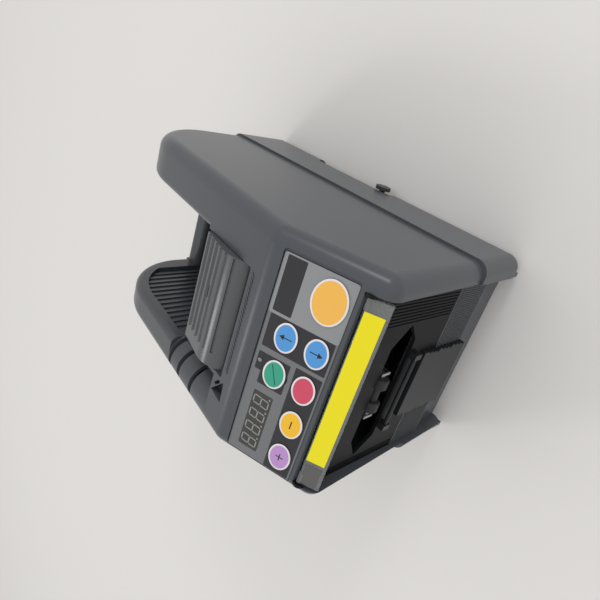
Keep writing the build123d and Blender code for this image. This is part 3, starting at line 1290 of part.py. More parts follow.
def side_arch():
    # A long low cut-out in the right skirt, for the side lever
    points = [(ARCH_FRONT, -1), (ARCH_FRONT, ARCH_TOP - 2), (ARCH_FRONT + 3, ARCH_TOP), (ARCH_REAR - 3, ARCH_TOP),
              (ARCH_REAR, ARCH_TOP - 4), (ARCH_REAR, -1)]
    return side_prism(outline(points), HALF - WALL - 1, WIDTH)


def rear_openings():
    y0, y1 = REAR_SPLIT_Y - 12, BIG
    jack = block(JACK_X - JACK_BODY / 2, JACK_X + JACK_BODY / 2, y0, y1, JACK_Z - JACK_BODY / 2, JACK_Z + JACK_BODY / 2)
    gap = 0.3
    rocker = block(ROCKER_X - ROCKER_WIDTH / 2 - gap, ROCKER_X + ROCKER_WIDTH / 2 + gap, y0, y1,
                   ROCKER_Z - ROCKER_HEIGHT / 2 - gap, ROCKER_Z + ROCKER_HEIGHT / 2 + gap)
    return jack + rocker


def rubber_feet():
    feet = []
    for x in (-FEET_X, FEET_X):
        for y in (-FEET_Y, FEET_Y):
            foot = rod("Z", 0, FLOOR_Z + 1, x, y, FOOT_R)
            feet.append(chamfer(foot.faces().sort_by(Axis.Z)[0].edges(), 0.6))
    return apart(feet)


def housing_screws():
    screws = []
    for place in SCREW_PLACES:
        for side in (-1, 1):
            low = FLOOR_Z + SCREW_HEAD_DEPTH
            head = rod("Z", low - 2.5, low, side * SCREW_X, place, SCREW_HEAD_R)
            shank = rod("Z", low - 1, BAND_HEIGHT + 12, side * SCREW_X, place, SCREW_R)
            screws.append(head + shank)
    return apart(screws)


def power_jack():
    face_y = REAR_SPLIT_Y + 1.0
    half = JACK_BODY / 2 - 0.05
    body = block(JACK_X - half, JACK_X + half, face_y - 14, face_y + 1, JACK_Z - half, JACK_Z + half)
    body = body - rod("Y", face_y - 9, face_y + 2, JACK_X, JACK_Z, JACK_R)
    return body + rod("Y", face_y - 10, face_y - 1, JACK_X, JACK_Z, 1.0)


def rocker_frame():
    half_w, half_h = ROCKER_WIDTH / 2 + 2.0, ROCKER_HEIGHT / 2 + 2.0
    cup = block(ROCKER_X - half_w, ROCKER_X + half_w, TRAY_REAR - 13, TRAY_REAR, ROCKER_Z - half_h, ROCKER_Z + half_h)
    gap = 0.3
    space = block(ROCKER_X - ROCKER_WIDTH / 2 - gap, ROCKER_X + ROCKER_WIDTH / 2 + gap, TRAY_REAR - 11, TRAY_REAR + 1,
                  ROCKER_Z - ROCKER_HEIGHT / 2 - gap, ROCKER_Z + ROCKER_HEIGHT / 2 + gap)
    pin = rod("X", ROCKER_X - half_w + 0.5, ROCKER_X + half_w - 0.5, TRAY_REAR - ROCKER_AXIS_DEPTH, ROCKER_Z, 1.0)
    return cup - space + pin


def power_rocker():
    axis_y = TRAY_REAR - ROCKER_AXIS_DEPTH
    reach = ROCKER_AXIS_DEPTH + WALL + 0.6
    half = ROCKER_HEIGHT / 2 - 1.5
    face = outline([(-3.0, -3.0), (reach, -half), (reach - 0.8, 0.0), (reach, half), (-3.0, 3.0)],
                   [1.0, 0.5, 6.0, 0.5, 1.0])
    rocker = side_prism(face, ROCKER_X - ROCKER_WIDTH / 2, ROCKER_X + ROCKER_WIDTH / 2)
    rocker = rocker - rod("X", -BIG, BIG, 0, 0, 1.0 + RUN_GAP)
    return Pos(0, axis_y, ROCKER_Z) * Rot(-ROCKER_SWING, 0, 0) * rocker


def power_board():
    x0, x1 = WELL_LEFT + POWER_LEFT_GAP, WELL_RIGHT - POWER_RIGHT_GAP
    y0, y1 = WELL_FRONT + POWER_FRONT_GAP, WELL_REAR - POWER_REAR_GAP
    z0 = FLOOR_TOP + POWER_LIFT
    z1 = z0 + POWER_THICK
    board = block(x0, x1, y0, y1, z0, z1)
    for x in (x0 + POWER_POST_INSET, x1 - POWER_POST_INSET):
        for y in (y0 + POWER_POST_INSET, y1 - POWER_POST_INSET):
            board = board + rod("Z", FLOOR_TOP, z0 + 0.5, x, y, POWER_POST_R)
    middle = (y0 + y1) / 2
    for number in (1, 2):
        x = x0 + CAPACITOR_SPACING * number
        board = board + rod("Z", z1 - 0.5, z1 + CAPACITOR_HEIGHT, x, middle - CAPACITOR_R, CAPACITOR_R)
    left = x1 - POWER_POST_INSET - TRANSFORMER_WIDTH
    rear = middle + TRANSFORMER_DEPTH / 2
    return board + block(left, left + TRANSFORMER_WIDTH, rear - TRANSFORMER_DEPTH, rear, z1 - 0.5, z1 + TRANSFORMER_HEIGHT)


# Side lever

def lever_slider():
    x1 = WIDTH / 2 - WALL - 0.6
    y0 = LEVER_Y - LEVER_SLIDER_LENGTH / 2
    bar = block(x1 - 7, x1, y0, y0 + LEVER_SLIDER_LENGTH, FLOOR_TOP, FLOOR_TOP + LEVER_THICK)
    top = FLOOR_TOP + LEVER_THICK
    neck = block(x1 - 4, WIDTH / 2 + 0.5, LEVER_Y - 1.5, LEVER_Y + 1.5, top, top + LEVER_THICK)
    return bar + neck


def lever_knob():
    z = FLOOR_TOP + 1.5 * LEVER_THICK
    corners = []
    for number in range(8):
        angle = math.radians(22.5 + 45 * number)
        corners.append((LEVER_Y + LEVER_KNOB_R * math.cos(angle), z + LEVER_KNOB_R * math.sin(angle)))
    return side_prism(outline(corners), WIDTH / 2 + 0.5, WIDTH / 2 + LEVER_PROUD)


def write(name, piece):
    solids = piece.solids()
    shape = solids[0] if len(solids) == 1 else Compound(children=list(solids))
    export_step(shape, os.path.join("parts", name + ".step"))


def main():
    os.makedirs("parts", exist_ok=True)
    pieces = {
        "upper_housing": upper_housing(),
        "base_tray": base_tray(),
        "rubber_feet": rubber_feet(),
        "housing_screws": housing_screws(),
        "panel_overlay": panel_overlay(),
        "display_window": display_window(),
        "display_module": display_module(),
        "control_board": control_board(),
        "board_screws": board_screws(),
        "dome_switches": dome_switches(),
        "front_plate": front_plate(),
        "catch_plate": catch_plate(),
        "rest_bar": rest_bar(),
        "side_frame_left": side_frame(True),
        "side_frame_right": side_frame(False),
        "frame_screws": frame_screws(),
        "tie_rods": tie_rods(),
        "blade_bar": blade_bar(),
        "fixed_blade": fixed_blade(),
        "moving_blade": moving_blade(),
        "blade_screws": blade_screws(),
        "blade_carriage": blade_carriage(),
        "cutter_bridge": cutter_bridge(),
        "guide_rods": guide_rods(),
        "cutter_crank": cutter_crank(),
        "cutter_motor": cutter_motor(),
        "wheel_bracket": wheel_bracket(),
        "outlet_axle": outlet_axle(),
        "outlet_wheels": outlet_wheels(),
        "feed_shaft": roller_shaft(feed_axis(), FRAME_LEFT - GEAR_GAP - GEAR_FACE - 1),
        "feed_roller": feed_roller(),
        "feed_gear": gear(FEED_TEETH, feed_axis(), SHAFT_R, 270 + 180.0 / FEED_TEETH),
        "pinch_shaft": roller_shaft(pinch_axis(), FRAME_LEFT - 3),
        "pinch_roller": pinch_roller(),
        "roller_bushes": roller_bushes(),
        "feed_motor": feed_motor(),
        "motor_pinion": motor_pinion(),
        "idler_gear": idler_gear(),
        "idler_pin": idler_pin(),
        "tape_guide": tape_guide(),
        "guide_pin": guide_pin(),
        "safety_cover": safety_cover(),
        "cover_label": cover_label(),
        "cover_brackets": cover_brackets(),
        "cradle_axles": cradle_axles(),
        "cradle_roller_front": cradle_roller(CRADLE_PLACES[0]),
        "cradle_roller_rear": cradle_roller(CRADLE_PLACES[1]),
        "power_jack": power_jack(),
        "rocker_frame": rocker_frame(),
        "power_rocker": power_rocker(),
        "power_board": power_board(),
        "lever_slider": lever_slider(),
        "lever_knob": lever_knob(),
    }
    for name, (a, b, radius) in KEYS.items():
        pieces[name] = key_cap(a, b, radius)
    for name, piece in pieces.items():
        write(name, piece)
    print(len(pieces), "nodes written")


main()
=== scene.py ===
"""Looks of the table-top tape dispenser: finishes, printed film, moulded trim, light and camera."""

import logging
import math
from dataclasses import dataclass, field
from enum import Enum
from typing import Callable, ClassVar, Iterable

import bpy
from mathutils import Matrix, Vector


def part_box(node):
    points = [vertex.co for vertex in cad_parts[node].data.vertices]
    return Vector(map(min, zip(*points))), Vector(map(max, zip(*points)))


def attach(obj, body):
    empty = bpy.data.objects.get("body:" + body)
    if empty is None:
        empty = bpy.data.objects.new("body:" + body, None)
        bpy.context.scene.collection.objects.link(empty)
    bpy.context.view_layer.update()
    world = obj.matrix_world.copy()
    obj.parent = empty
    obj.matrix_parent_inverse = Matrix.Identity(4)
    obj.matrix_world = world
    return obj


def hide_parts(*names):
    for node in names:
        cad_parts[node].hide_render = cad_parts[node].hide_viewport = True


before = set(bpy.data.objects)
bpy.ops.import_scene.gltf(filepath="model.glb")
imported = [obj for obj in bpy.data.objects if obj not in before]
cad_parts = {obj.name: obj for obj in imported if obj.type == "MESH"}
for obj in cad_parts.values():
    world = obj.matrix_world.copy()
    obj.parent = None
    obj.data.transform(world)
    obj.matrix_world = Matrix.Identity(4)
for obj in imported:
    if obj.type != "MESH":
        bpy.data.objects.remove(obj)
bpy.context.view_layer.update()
MM = 0.001
TOUCH = 1e-7
NEAR_END = 0.999
SMOOTH_ANGLE = math.radians(35)
QUARTER_TURN = math.radians(90)
ROD_SIDES = 32
OVAL_SIDES = 72
INSET_STEPS = 3

Colour = tuple[float, float, float]
Point = tuple[float, float, float]

log = logging.getLogger("dispenser")


def linear(red: int, green: int, blue: int) -> Colour:
    """Turn a screen colour of 0 to 255 a channel into the linear colour a shader takes.

    Args:
        red: Red channel.
        green: Green channel.
        blue: Blue channel.

    Returns:
        The linear colour.
    """
    def channel(value: int) -> float:
        """Undo the screen curve of one channel."""
        share = value / 255
        return share / 12.92 if share <= 0.04045 else ((share + 0.055) / 1.055) ** 2.4
    return channel(red), channel(green), channel(blue)


class Grain(Enum):
    """How deep the fine texture of a surface is, in metres."""

    SMOOTH = 0.0
    FINE = 0.000012
    MATTE = 0.00003


@dataclass(frozen=True)
class Finish:
    """One plain finish of a solid piece."""

    name: str
    colour: Colour
    roughness: float = 0.5
    metallic: float = 0.0
    coat: float = 0.0
    shine: float = 0.5
    grain: Grain = Grain.SMOOTH
    grain_scale: float = 2600.0
    grain_detail: float = 2.0
    grain_strength: float = 0.6
    made: ClassVar[dict[str, bpy.types.Material]] = {}

    def material(self) -> bpy.types.Material:
        """Return this finish's material, built once."""
        if self.name not in Finish.made:
            Finish.made[self.name] = self.build()
        return Finish.made[self.name]

    def shader(self) -> tuple[bpy.types.Material, bpy.types.ShaderNode]:
        """Start a material with its main shader set from the plain values."""
        material = bpy.data.materials.new(self.name)
        material.use_nodes = True
        shader = material.node_tree.nodes["Principled BSDF"]
        shader.inputs["Base Color"].default_value = (*self.colour, 1.0)
        shader.inputs["Roughness"].default_value = self.roughness
        shader.inputs["Metallic"].default_value = self.metallic
        shader.inputs["Coat Weight"].default_value = self.coat
        shader.inputs["Specular IOR Level"].default_value = self.shine
        material.diffuse_color = (*self.colour, 1.0)
        return material, shader

    def build(self) -> bpy.types.Material:
        """Make the material, with its grain where it has one."""
        material, shader = self.shader()
        if self.grain is not Grain.SMOOTH:
            self.roughen(material, shader)
        return material

    def roughen(self, material: bpy.types.Material, shader: bpy.types.ShaderNode) -> None:
        """Give the surface its fine moulded grain.

        Args:
            material: The material that gets the nodes.
            shader: Its main shader.
        """
        nodes, links = material.node_tree.nodes, material.node_tree.links
        place = nodes.new("ShaderNodeTexCoord")
        noise = nodes.new("ShaderNodeTexNoise")
        noise.inputs["Scale"].default_value = self.grain_scale
        noise.inputs["Detail"].default_value = self.grain_detail
        bump = nodes.new("ShaderNodeBump")
        bump.inputs["Distance"].default_value = self.grain.value
        bump.inputs["Strength"].default_value = self.grain_strength
        links.new(place.outputs["Object"], noise.inputs["Vector"])
        links.new(noise.outputs["Fac"], bump.inputs["Height"])
        links.new(bump.outputs["Normal"], shader.inputs["Normal"])


@dataclass(frozen=True)
class BrushedMetal(Finish):
    """Metal with fine lines along one axis."""

    stretch: Point = (40.0, 3000.0, 3000.0)
    metallic: float = 1.0
    spread: tuple[float, float] = (0.8, 1.3)

    def build(self) -> bpy.types.Material:
        """Make the metal, with a light change of roughness along its lines."""
        material, shader = self.shader()
        nodes, links = material.node_tree.nodes, material.node_tree.links
        place = nodes.new("ShaderNodeTexCoord")
        mapping = nodes.new("ShaderNodeMapping")
        mapping.inputs["Scale"].default_value = self.stretch
        noise = nodes.new("ShaderNodeTexNoise")
        noise.inputs["Scale"].default_value = 1.0
        span = nodes.new("ShaderNodeMapRange")
        span.inputs["To Min"].default_value = self.roughness * self.spread[0]
        span.inputs["To Max"].default_value = self.roughness * self.spread[1]
        links.new(place.outputs["Object"], mapping.inputs["Vector"])
        links.new(mapping.outputs["Vector"], noise.inputs["Vector"])
        links.new(noise.outputs["Fac"], span.inputs["Value"])
        links.new(span.outputs["Result"], shader.inputs["Roughness"])
        return material


@dataclass(frozen=True)
class ClearPlastic(Finish):
    """Smoky see-through plastic."""

    alpha: float = 0.35

    def build(self) -> bpy.types.Material:
        """Make the clear sheet as a glossy surface that lets part of the light through."""
        material, shader = self.shader()
        shader.inputs["Alpha"].default_value = self.alpha
        return material


@dataclass(frozen=True)
class RimmedDisc(Finish):
    """A key's finish: a coloured oval in a pale ring, painted about the key's axis."""

    centre: Point = (0.0, 0.0, 0.0)
    normal: Point = (0.0, 0.0, 1.0)
    inner: float = 0.005
    squeeze: float = 1.0
    rim: Colour = (0.8, 0.8, 0.8)

    def build(self) -> bpy.types.Material:
        """Make the disc, with the ring painted by the distance from the key's axis."""
        material, shader = self.shader()
        nodes, links = material.node_tree.nodes, material.node_tree.links
        place = nodes.new("ShaderNodeTexCoord")
        offset = nodes.new("ShaderNodeVectorMath")
        offset.operation = "SUBTRACT"
        offset.inputs[1].default_value = self.centre
        narrow = nodes.new("ShaderNodeVectorMath")
        narrow.operation = "MULTIPLY"
        narrow.inputs[1].default_value = (self.squeeze, 1.0, 1.0)
        across = nodes.new("ShaderNodeVectorMath")
        across.operation = "CROSS_PRODUCT"
        across.inputs[1].default_value = self.normal
        length = nodes.new("ShaderNodeVectorMath")
        length.operation = "LENGTH"
        edge = nodes.new("ShaderNodeMath")
        edge.operation = "GREATER_THAN"
        edge.inputs[1].default_value = self.inner
        mix = nodes.new("ShaderNodeMix")
        mix.data_type = "RGBA"
        mix.inputs[6].default_value = (*self.colour, 1.0)
        mix.inputs[7].default_value = (*self.rim, 1.0)
        links.new(place.outputs["Object"], offset.inputs[0])
        links.new(offset.outputs["Vector"], narrow.inputs[0])
        links.new(narrow.outputs["Vector"], across.inputs[0])
        links.new(across.outputs["Vector"], length.inputs[0])
        links.new(length.outputs["Value"], edge.inputs[0])
        links.new(edge.outputs["Value"], mix.inputs[0])
        links.new(mix.outputs[2], shader.inputs["Base Color"])
        return material


CASE = Finish("case plastic", linear(76, 79, 84), roughness=0.3, shine=0.32, grain=Grain.FINE)
GUIDE = Finish("guide plastic", linear(82, 85, 88), roughness=0.24, shine=0.45)
FRONT = Finish("front plastic", linear(20, 21, 23), roughness=0.45, shine=0.12, grain=Grain.FINE)
APRON = Finish("apron plastic", linear(62, 64, 67), roughness=0.4, shine=0.25)
CATCH = Finish("catch plastic", linear(34, 36, 39), roughness=0.34, shine=0.35)
KNOB = Finish("knob plastic", linear(44, 46, 50), roughness=0.4, grain=Grain.FINE)
# Black plastic; this finish also colours the black strips of painted shade in the inlet's gap and under the
# guide's slot.
BLACK_PLASTIC_AND_SHADE = Finish("black plastic and painted shade", linear(20, 21, 23), roughness=0.4, shine=0.16, grain=Grain.FINE)
DARK_FILM = Finish("dark film", linear(50, 50, 54), roughness=0.4, shine=0.3)
GREY_FILM = Finish("grey film", linear(112, 113, 115), roughness=0.42, shine=0.35)
SILVER_FILM = Finish("silver film", linear(144, 145, 147), roughness=0.34, metallic=0.25)
DISPLAY = Finish("display window", linear(66, 66, 65), roughness=0.25, shine=0.3)
SEGMENT = Finish("display segment", linear(146, 146, 142), roughness=0.4, shine=0.2)
# Black ink for the key signs; this finish also colours the dark line of painted shade round the film's edge.
INK_AND_EDGE_SHADE = Finish("black ink and painted edge shade", linear(36, 38, 44), roughness=0.5)
YELLOW = Finish("yellow strip", linear(236, 222, 22), roughness=0.45, shine=0.3)
LABEL_GREY = Finish("bare grey label", linear(88, 87, 86), roughness=0.35)
CLEAR = ClearPlastic("clear cover", linear(150, 152, 152), roughness=0.12, alpha=0.42)
LED = Finish("unlit lamp", linear(120, 122, 128), roughness=0.2, coat=0.4)
STEEL = BrushedMetal("plated steel", linear(168, 169, 172), roughness=0.34)
BLADE = BrushedMetal("blade steel", linear(190, 191, 193), roughness=0.22)
SCREW = BrushedMetal("screw steel", linear(176, 176, 178), roughness=0.25)
BRASS = BrushedMetal("bush metal", linear(186, 152, 92), roughness=0.35)
MOTOR = BrushedMetal("motor can", linear(140, 141, 144), roughness=0.4)
RUBBER = Finish("roller rubber", linear(52, 52, 54), roughness=0.72, grain=Grain.MATTE)
DARK_RUBBER = Finish("foot rubber", linear(28, 28, 29), roughness=0.8, grain=Grain.MATTE)
WHEEL = Finish("outlet wheel", linear(34, 34, 36), roughness=0.6)
ACETAL = Finish("gear plastic", linear(216, 214, 206), roughness=0.35)
BOARD = Finish("circuit board", linear(32, 92, 54), roughness=0.4)
ROLLER = Finish("cradle roller", linear(84, 86, 90), roughness=0.4, grain=Grain.FINE)
PALE_RIM = linear(226, 222, 222)


@dataclass(frozen=True)
class PanelFrame:
    """The sloping key panel: places are in mm across, up the slope, and out of it."""

    left: float = -57.9
    front: float = -99.4
    tilt: float = math.radians(19.8)
    apex_y: float = -57.7
    apex_z: float = 150.5
    sunk: float = 0.8

    def matrix(self, across: float = 0.0, up: float = 0.0, out: float = 0.0) -> Matrix:
        """Return the place on the panel as a matrix, with its local Z out of the panel.

        Args:
            across: Distance from the film's left edge, in mm.
            up: Distance up the slope from the film's front edge, in mm.
            out: Height over the film's face, in mm.

        Returns:
            The matrix in metres, in the row frame.
        """
        base = self.apex_z + (self.front - self.apex_y) * math.tan(self.tilt)
        height = out - self.sunk
        y = self.front + up * math.cos(self.tilt) - height * math.sin(self.tilt)
        z = base + up * math.sin(self.tilt) + height * math.cos(self.tilt)
        spot = Vector((self.left + across, y, z)) * MM
        return Matrix.Translation(spot) @ Matrix.Rotation(self.tilt, 4, "X")

    def normal(self) -> Point:
        """Return the direction out of the panel."""
        return 0.0, -math.sin(self.tilt), math.cos(self.tilt)


class Bench:
    """Modelling steps that every sub-assembly shares."""

    @staticmethod
    def start() -> None:
        """Deselect everything, so that the next step acts on the new piece alone."""
        if bpy.context.object and bpy.context.object.mode != "OBJECT":
            bpy.ops.object.mode_set(mode="OBJECT")
        bpy.ops.object.select_all(action="DESELECT")

    @staticmethod
    def pick(piece: bpy.types.Object) -> None:
        """Make a piece the only selected one."""
        Bench.start()
        piece.select_set(True)
        bpy.context.view_layer.objects.active = piece

    @staticmethod
    def choose_edges(piece: bpy.types.Object, wanted: Callable[[Vector, Vector], bool]) -> None:
        """Select edges by their two ends, and leave the piece in edit mode.

        Args:
            piece: The piece, in object mode.
            wanted: Tells from an edge's ends whether it is chosen.
        """
        bpy.ops.object.mode_set(mode="EDIT")
        bpy.ops.mesh.select_mode(type="EDGE")
        bpy.ops.mesh.select_all(action="DESELECT")
        bpy.ops.object.mode_set(mode="OBJECT")
        mesh = piece.data
        for edge in mesh.edges:
            ends = [mesh.vertices[index].co for index in edge.vertices]
            edge.select = wanted(*ends)
        bpy.ops.object.mode_set(mode="EDIT")

    @staticmethod
    def close() -> None:
        """Turn all faces outward and leave edit mode."""
        bpy.ops.mesh.select_all(action="SELECT")
        bpy.ops.mesh.normals_make_consistent(inside=False)
        bpy.ops.object.mode_set(mode="OBJECT")

    @staticmethod
    def smooth(piece: bpy.types.Object) -> None:
        """Shade a piece smooth but for its sharp edges.

        Args:
            piece: The piece, in object mode.
        """
        Bench.pick(piece)
        bpy.ops.object.shade_smooth_by_angle(angle=SMOOTH_ANGLE)

    @staticmethod
    def bevel(piece: bpy.types.Object, wanted: Callable[[Vector, Vector], bool], offset: float,
              segments: int) -> None:
        """Round chosen edges.

        Args:
            piece: The piece, in object mode.
            wanted: Tells from an edge's ends whether it is chosen.
            offset: Width of the rounding, in mm.
            segments: Its number of faces.
        """
        Bench.choose_edges(piece, wanted)
        bpy.ops.mesh.bevel(offset=offset * MM, segments=segments)
        bpy.ops.object.mode_set(mode="OBJECT")

    @staticmethod
    def rise(height: float) -> None:
        """Extrude the selected face along Z, in edit mode.

        Args:
            height: How far, in metres.
        """
        bpy.ops.mesh.extrude_region_move(TRANSFORM_OT_translate={"value": (0, 0, height)})

    @staticmethod
    def plate(name: str, width: float, rise: float, thick: float, corner: float = 0.0,
              top: float = 0.0) -> bpy.types.Object:
        """Model a flat plate that stands on the local XY plane, with rounded corners.

        Args:
            name: The piece's name.
            width: Size along X, in mm.
            rise: Size along Y, in mm.
            thick: Size along Z, in mm.
            corner: Radius of the upright corners, in mm.
            top: Bevel of the top edge, in mm.

        Returns:
            The new piece, in object mode.
        """
        Bench.start()
        bpy.ops.mesh.primitive_plane_add(size=1.0)
        piece = bpy.context.object
        piece.name = name
        bpy.ops.object.mode_set(mode="EDIT")
        bpy.ops.mesh.select_all(action="SELECT")
        bpy.ops.transform.resize(value=(width * MM, rise * MM, 1.0))
        Bench.rise(thick * MM)
        Bench.close()
        if corner:
            Bench.bevel(piece, lambda a, b: abs(a.x - b.x) < TOUCH and abs(a.y - b.y) < TOUCH, corner, 5)
        if top:
            height = thick * MM * NEAR_END
            Bench.bevel(piece, lambda a, b: a.z > height and b.z > height, top, 2)
        return piece

    @staticmethod
    def prism(name: str, sides: int, radius: float, thick: float, turn: float = 0.0) -> bpy.types.Object:
        """Model a flat many-sided disc that stands on the local XY plane.

        Args:
            name: The piece's name.
            sides: How many sides it has.
            radius: Distance from its middle to a corner, in mm.
            thick: Size along Z, in mm.
            turn: Turn about Z, in degrees.

        Returns:
            The new piece, in object mode.
        """
        Bench.start()
        bpy.ops.mesh.primitive_circle_add(vertices=sides, radius=radius * MM, fill_type="NGON",
                                          rotation=(0, 0, math.radians(turn)))
        piece = bpy.context.object
        piece.name = name
        bpy.ops.object.transform_apply(location=False, rotation=True, scale=False)
        bpy.ops.object.mode_set(mode="EDIT")
        bpy.ops.mesh.select_all(action="SELECT")
        Bench.rise(thick * MM)
        Bench.close()
        return piece

    @staticmethod
    def oval(name: str, half_width: float, half_rise: float, thick: float, crown: float) -> bpy.types.Object:
        """Model an oval cap that stands on the local XY plane, with a rounded edge and a low crown.

        Args:
            name: The piece's name.
            half_width: Half of its size along X, in mm.
            half_rise: Half of its size along Y, in mm.
            thick: Height of its edge, in mm.
            crown: How much higher its middle is, in mm.

        Returns:
            The new piece, in object mode.
        """
        Bench.start()
        bpy.ops.mesh.primitive_circle_add(vertices=OVAL_SIDES, radius=MM, fill_type="NGON")
        piece = bpy.context.object
        piece.name = name
        bpy.ops.object.mode_set(mode="EDIT")
        bpy.ops.mesh.select_all(action="SELECT")
        bpy.ops.transform.resize(value=(half_width, half_rise, 1.0))
        Bench.rise(thick * MM)
        shares = range(INSET_STEPS, 0, -1)
        for share in shares:
            bpy.ops.mesh.inset(thickness=half_rise * MM / (INSET_STEPS + 1))
            bpy.ops.transform.translate(value=(0, 0, crown * MM * share / sum(shares)))
        Bench.close()
        height = thick * MM
        Bench.bevel(piece, lambda a, b: max(abs(a.z - height), abs(b.z - height)) < TOUCH, thick * 0.6, 3)
        Bench.smooth(piece)
        return piece

    @staticmethod
    def rod(name: str, radius: float, length: float) -> bpy.types.Object:
        """Model a round rib along the local X axis, with rounded ends.

        Args:
            name: The piece's name.
            radius: Its radius, in mm.
            length: Its length, in mm.

        Returns:
            The new piece, in object mode.
        """
        Bench.start()
        bpy.ops.mesh.primitive_cylinder_add(vertices=ROD_SIDES, radius=radius * MM, depth=length * MM,
                                            rotation=(0, QUARTER_TURN, 0))
        piece = bpy.context.object
        piece.name = name
        bpy.ops.object.transform_apply(location=False, rotation=True, scale=False)
        end = length * MM / 2 * NEAR_END
        Bench.bevel(piece, lambda a, b: min(abs(a.x), abs(b.x)) > end and a.x * b.x > 0, radius / 2, 3)
        Bench.smooth(piece)
        return piece

    @staticmethod
    def copy(piece: bpy.types.Object, matrix: Matrix) -> bpy.types.Object:
        """Copy a piece with its own mesh, and move the copy's mesh.

        Args:
            piece: The piece to copy.
            matrix: Where the copy goes, from the piece's place.

        Returns:
            The copy.
        """
        twin = piece.copy()
        twin.data = piece.data.copy()
        bpy.context.scene.collection.objects.link(twin)
        twin.data.transform(matrix)
        return twin

    @staticmethod
    def merge(name: str, pieces: Iterable[bpy.types.Object]) -> bpy.types.Object:
        """Join pieces into one.

        Args:
            name: The joined piece's name.
            pieces: The pieces to join.

        Returns:
            The joined piece.
        """
        Bench.start()
        chosen = list(pieces)
        for piece in chosen:
            piece.select_set(True)
        bpy.context.view_layer.objects.active = chosen[0]
        if len(chosen) > 1:
            bpy.ops.object.join()
        chosen[0].name = name
        return chosen[0]

    @staticmethod
    def place(piece: bpy.types.Object, matrix: Matrix, finish: Finish, slot: str,
              body: str) -> bpy.types.Object:
        """Move a finished mesh to its place, paint it, and let it ride on its body.

        Args:
            piece: The piece, modelled about the origin.
            matrix: Its place in the row frame.
            finish: Its finish.
            slot: The record's material slot; not used.
            body: The body it rides on.

        Returns:
            The piece.
        """
        piece.data.transform(matrix)
        piece.data.materials.clear()
        piece.data.materials.append(finish.material())
        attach(piece, body)
        return piece


def paint(finish: Finish, *nodes: str) -> None:
    """Give CAD nodes a finish.

    Args:
        finish: The finish.
        nodes: The nodes' names.
    """
    for name in nodes:
        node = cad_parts[name]
        for holder in node.material_slots:
            holder.material = finish.material()
        log.info("painted %s: %s", name, finish.name)


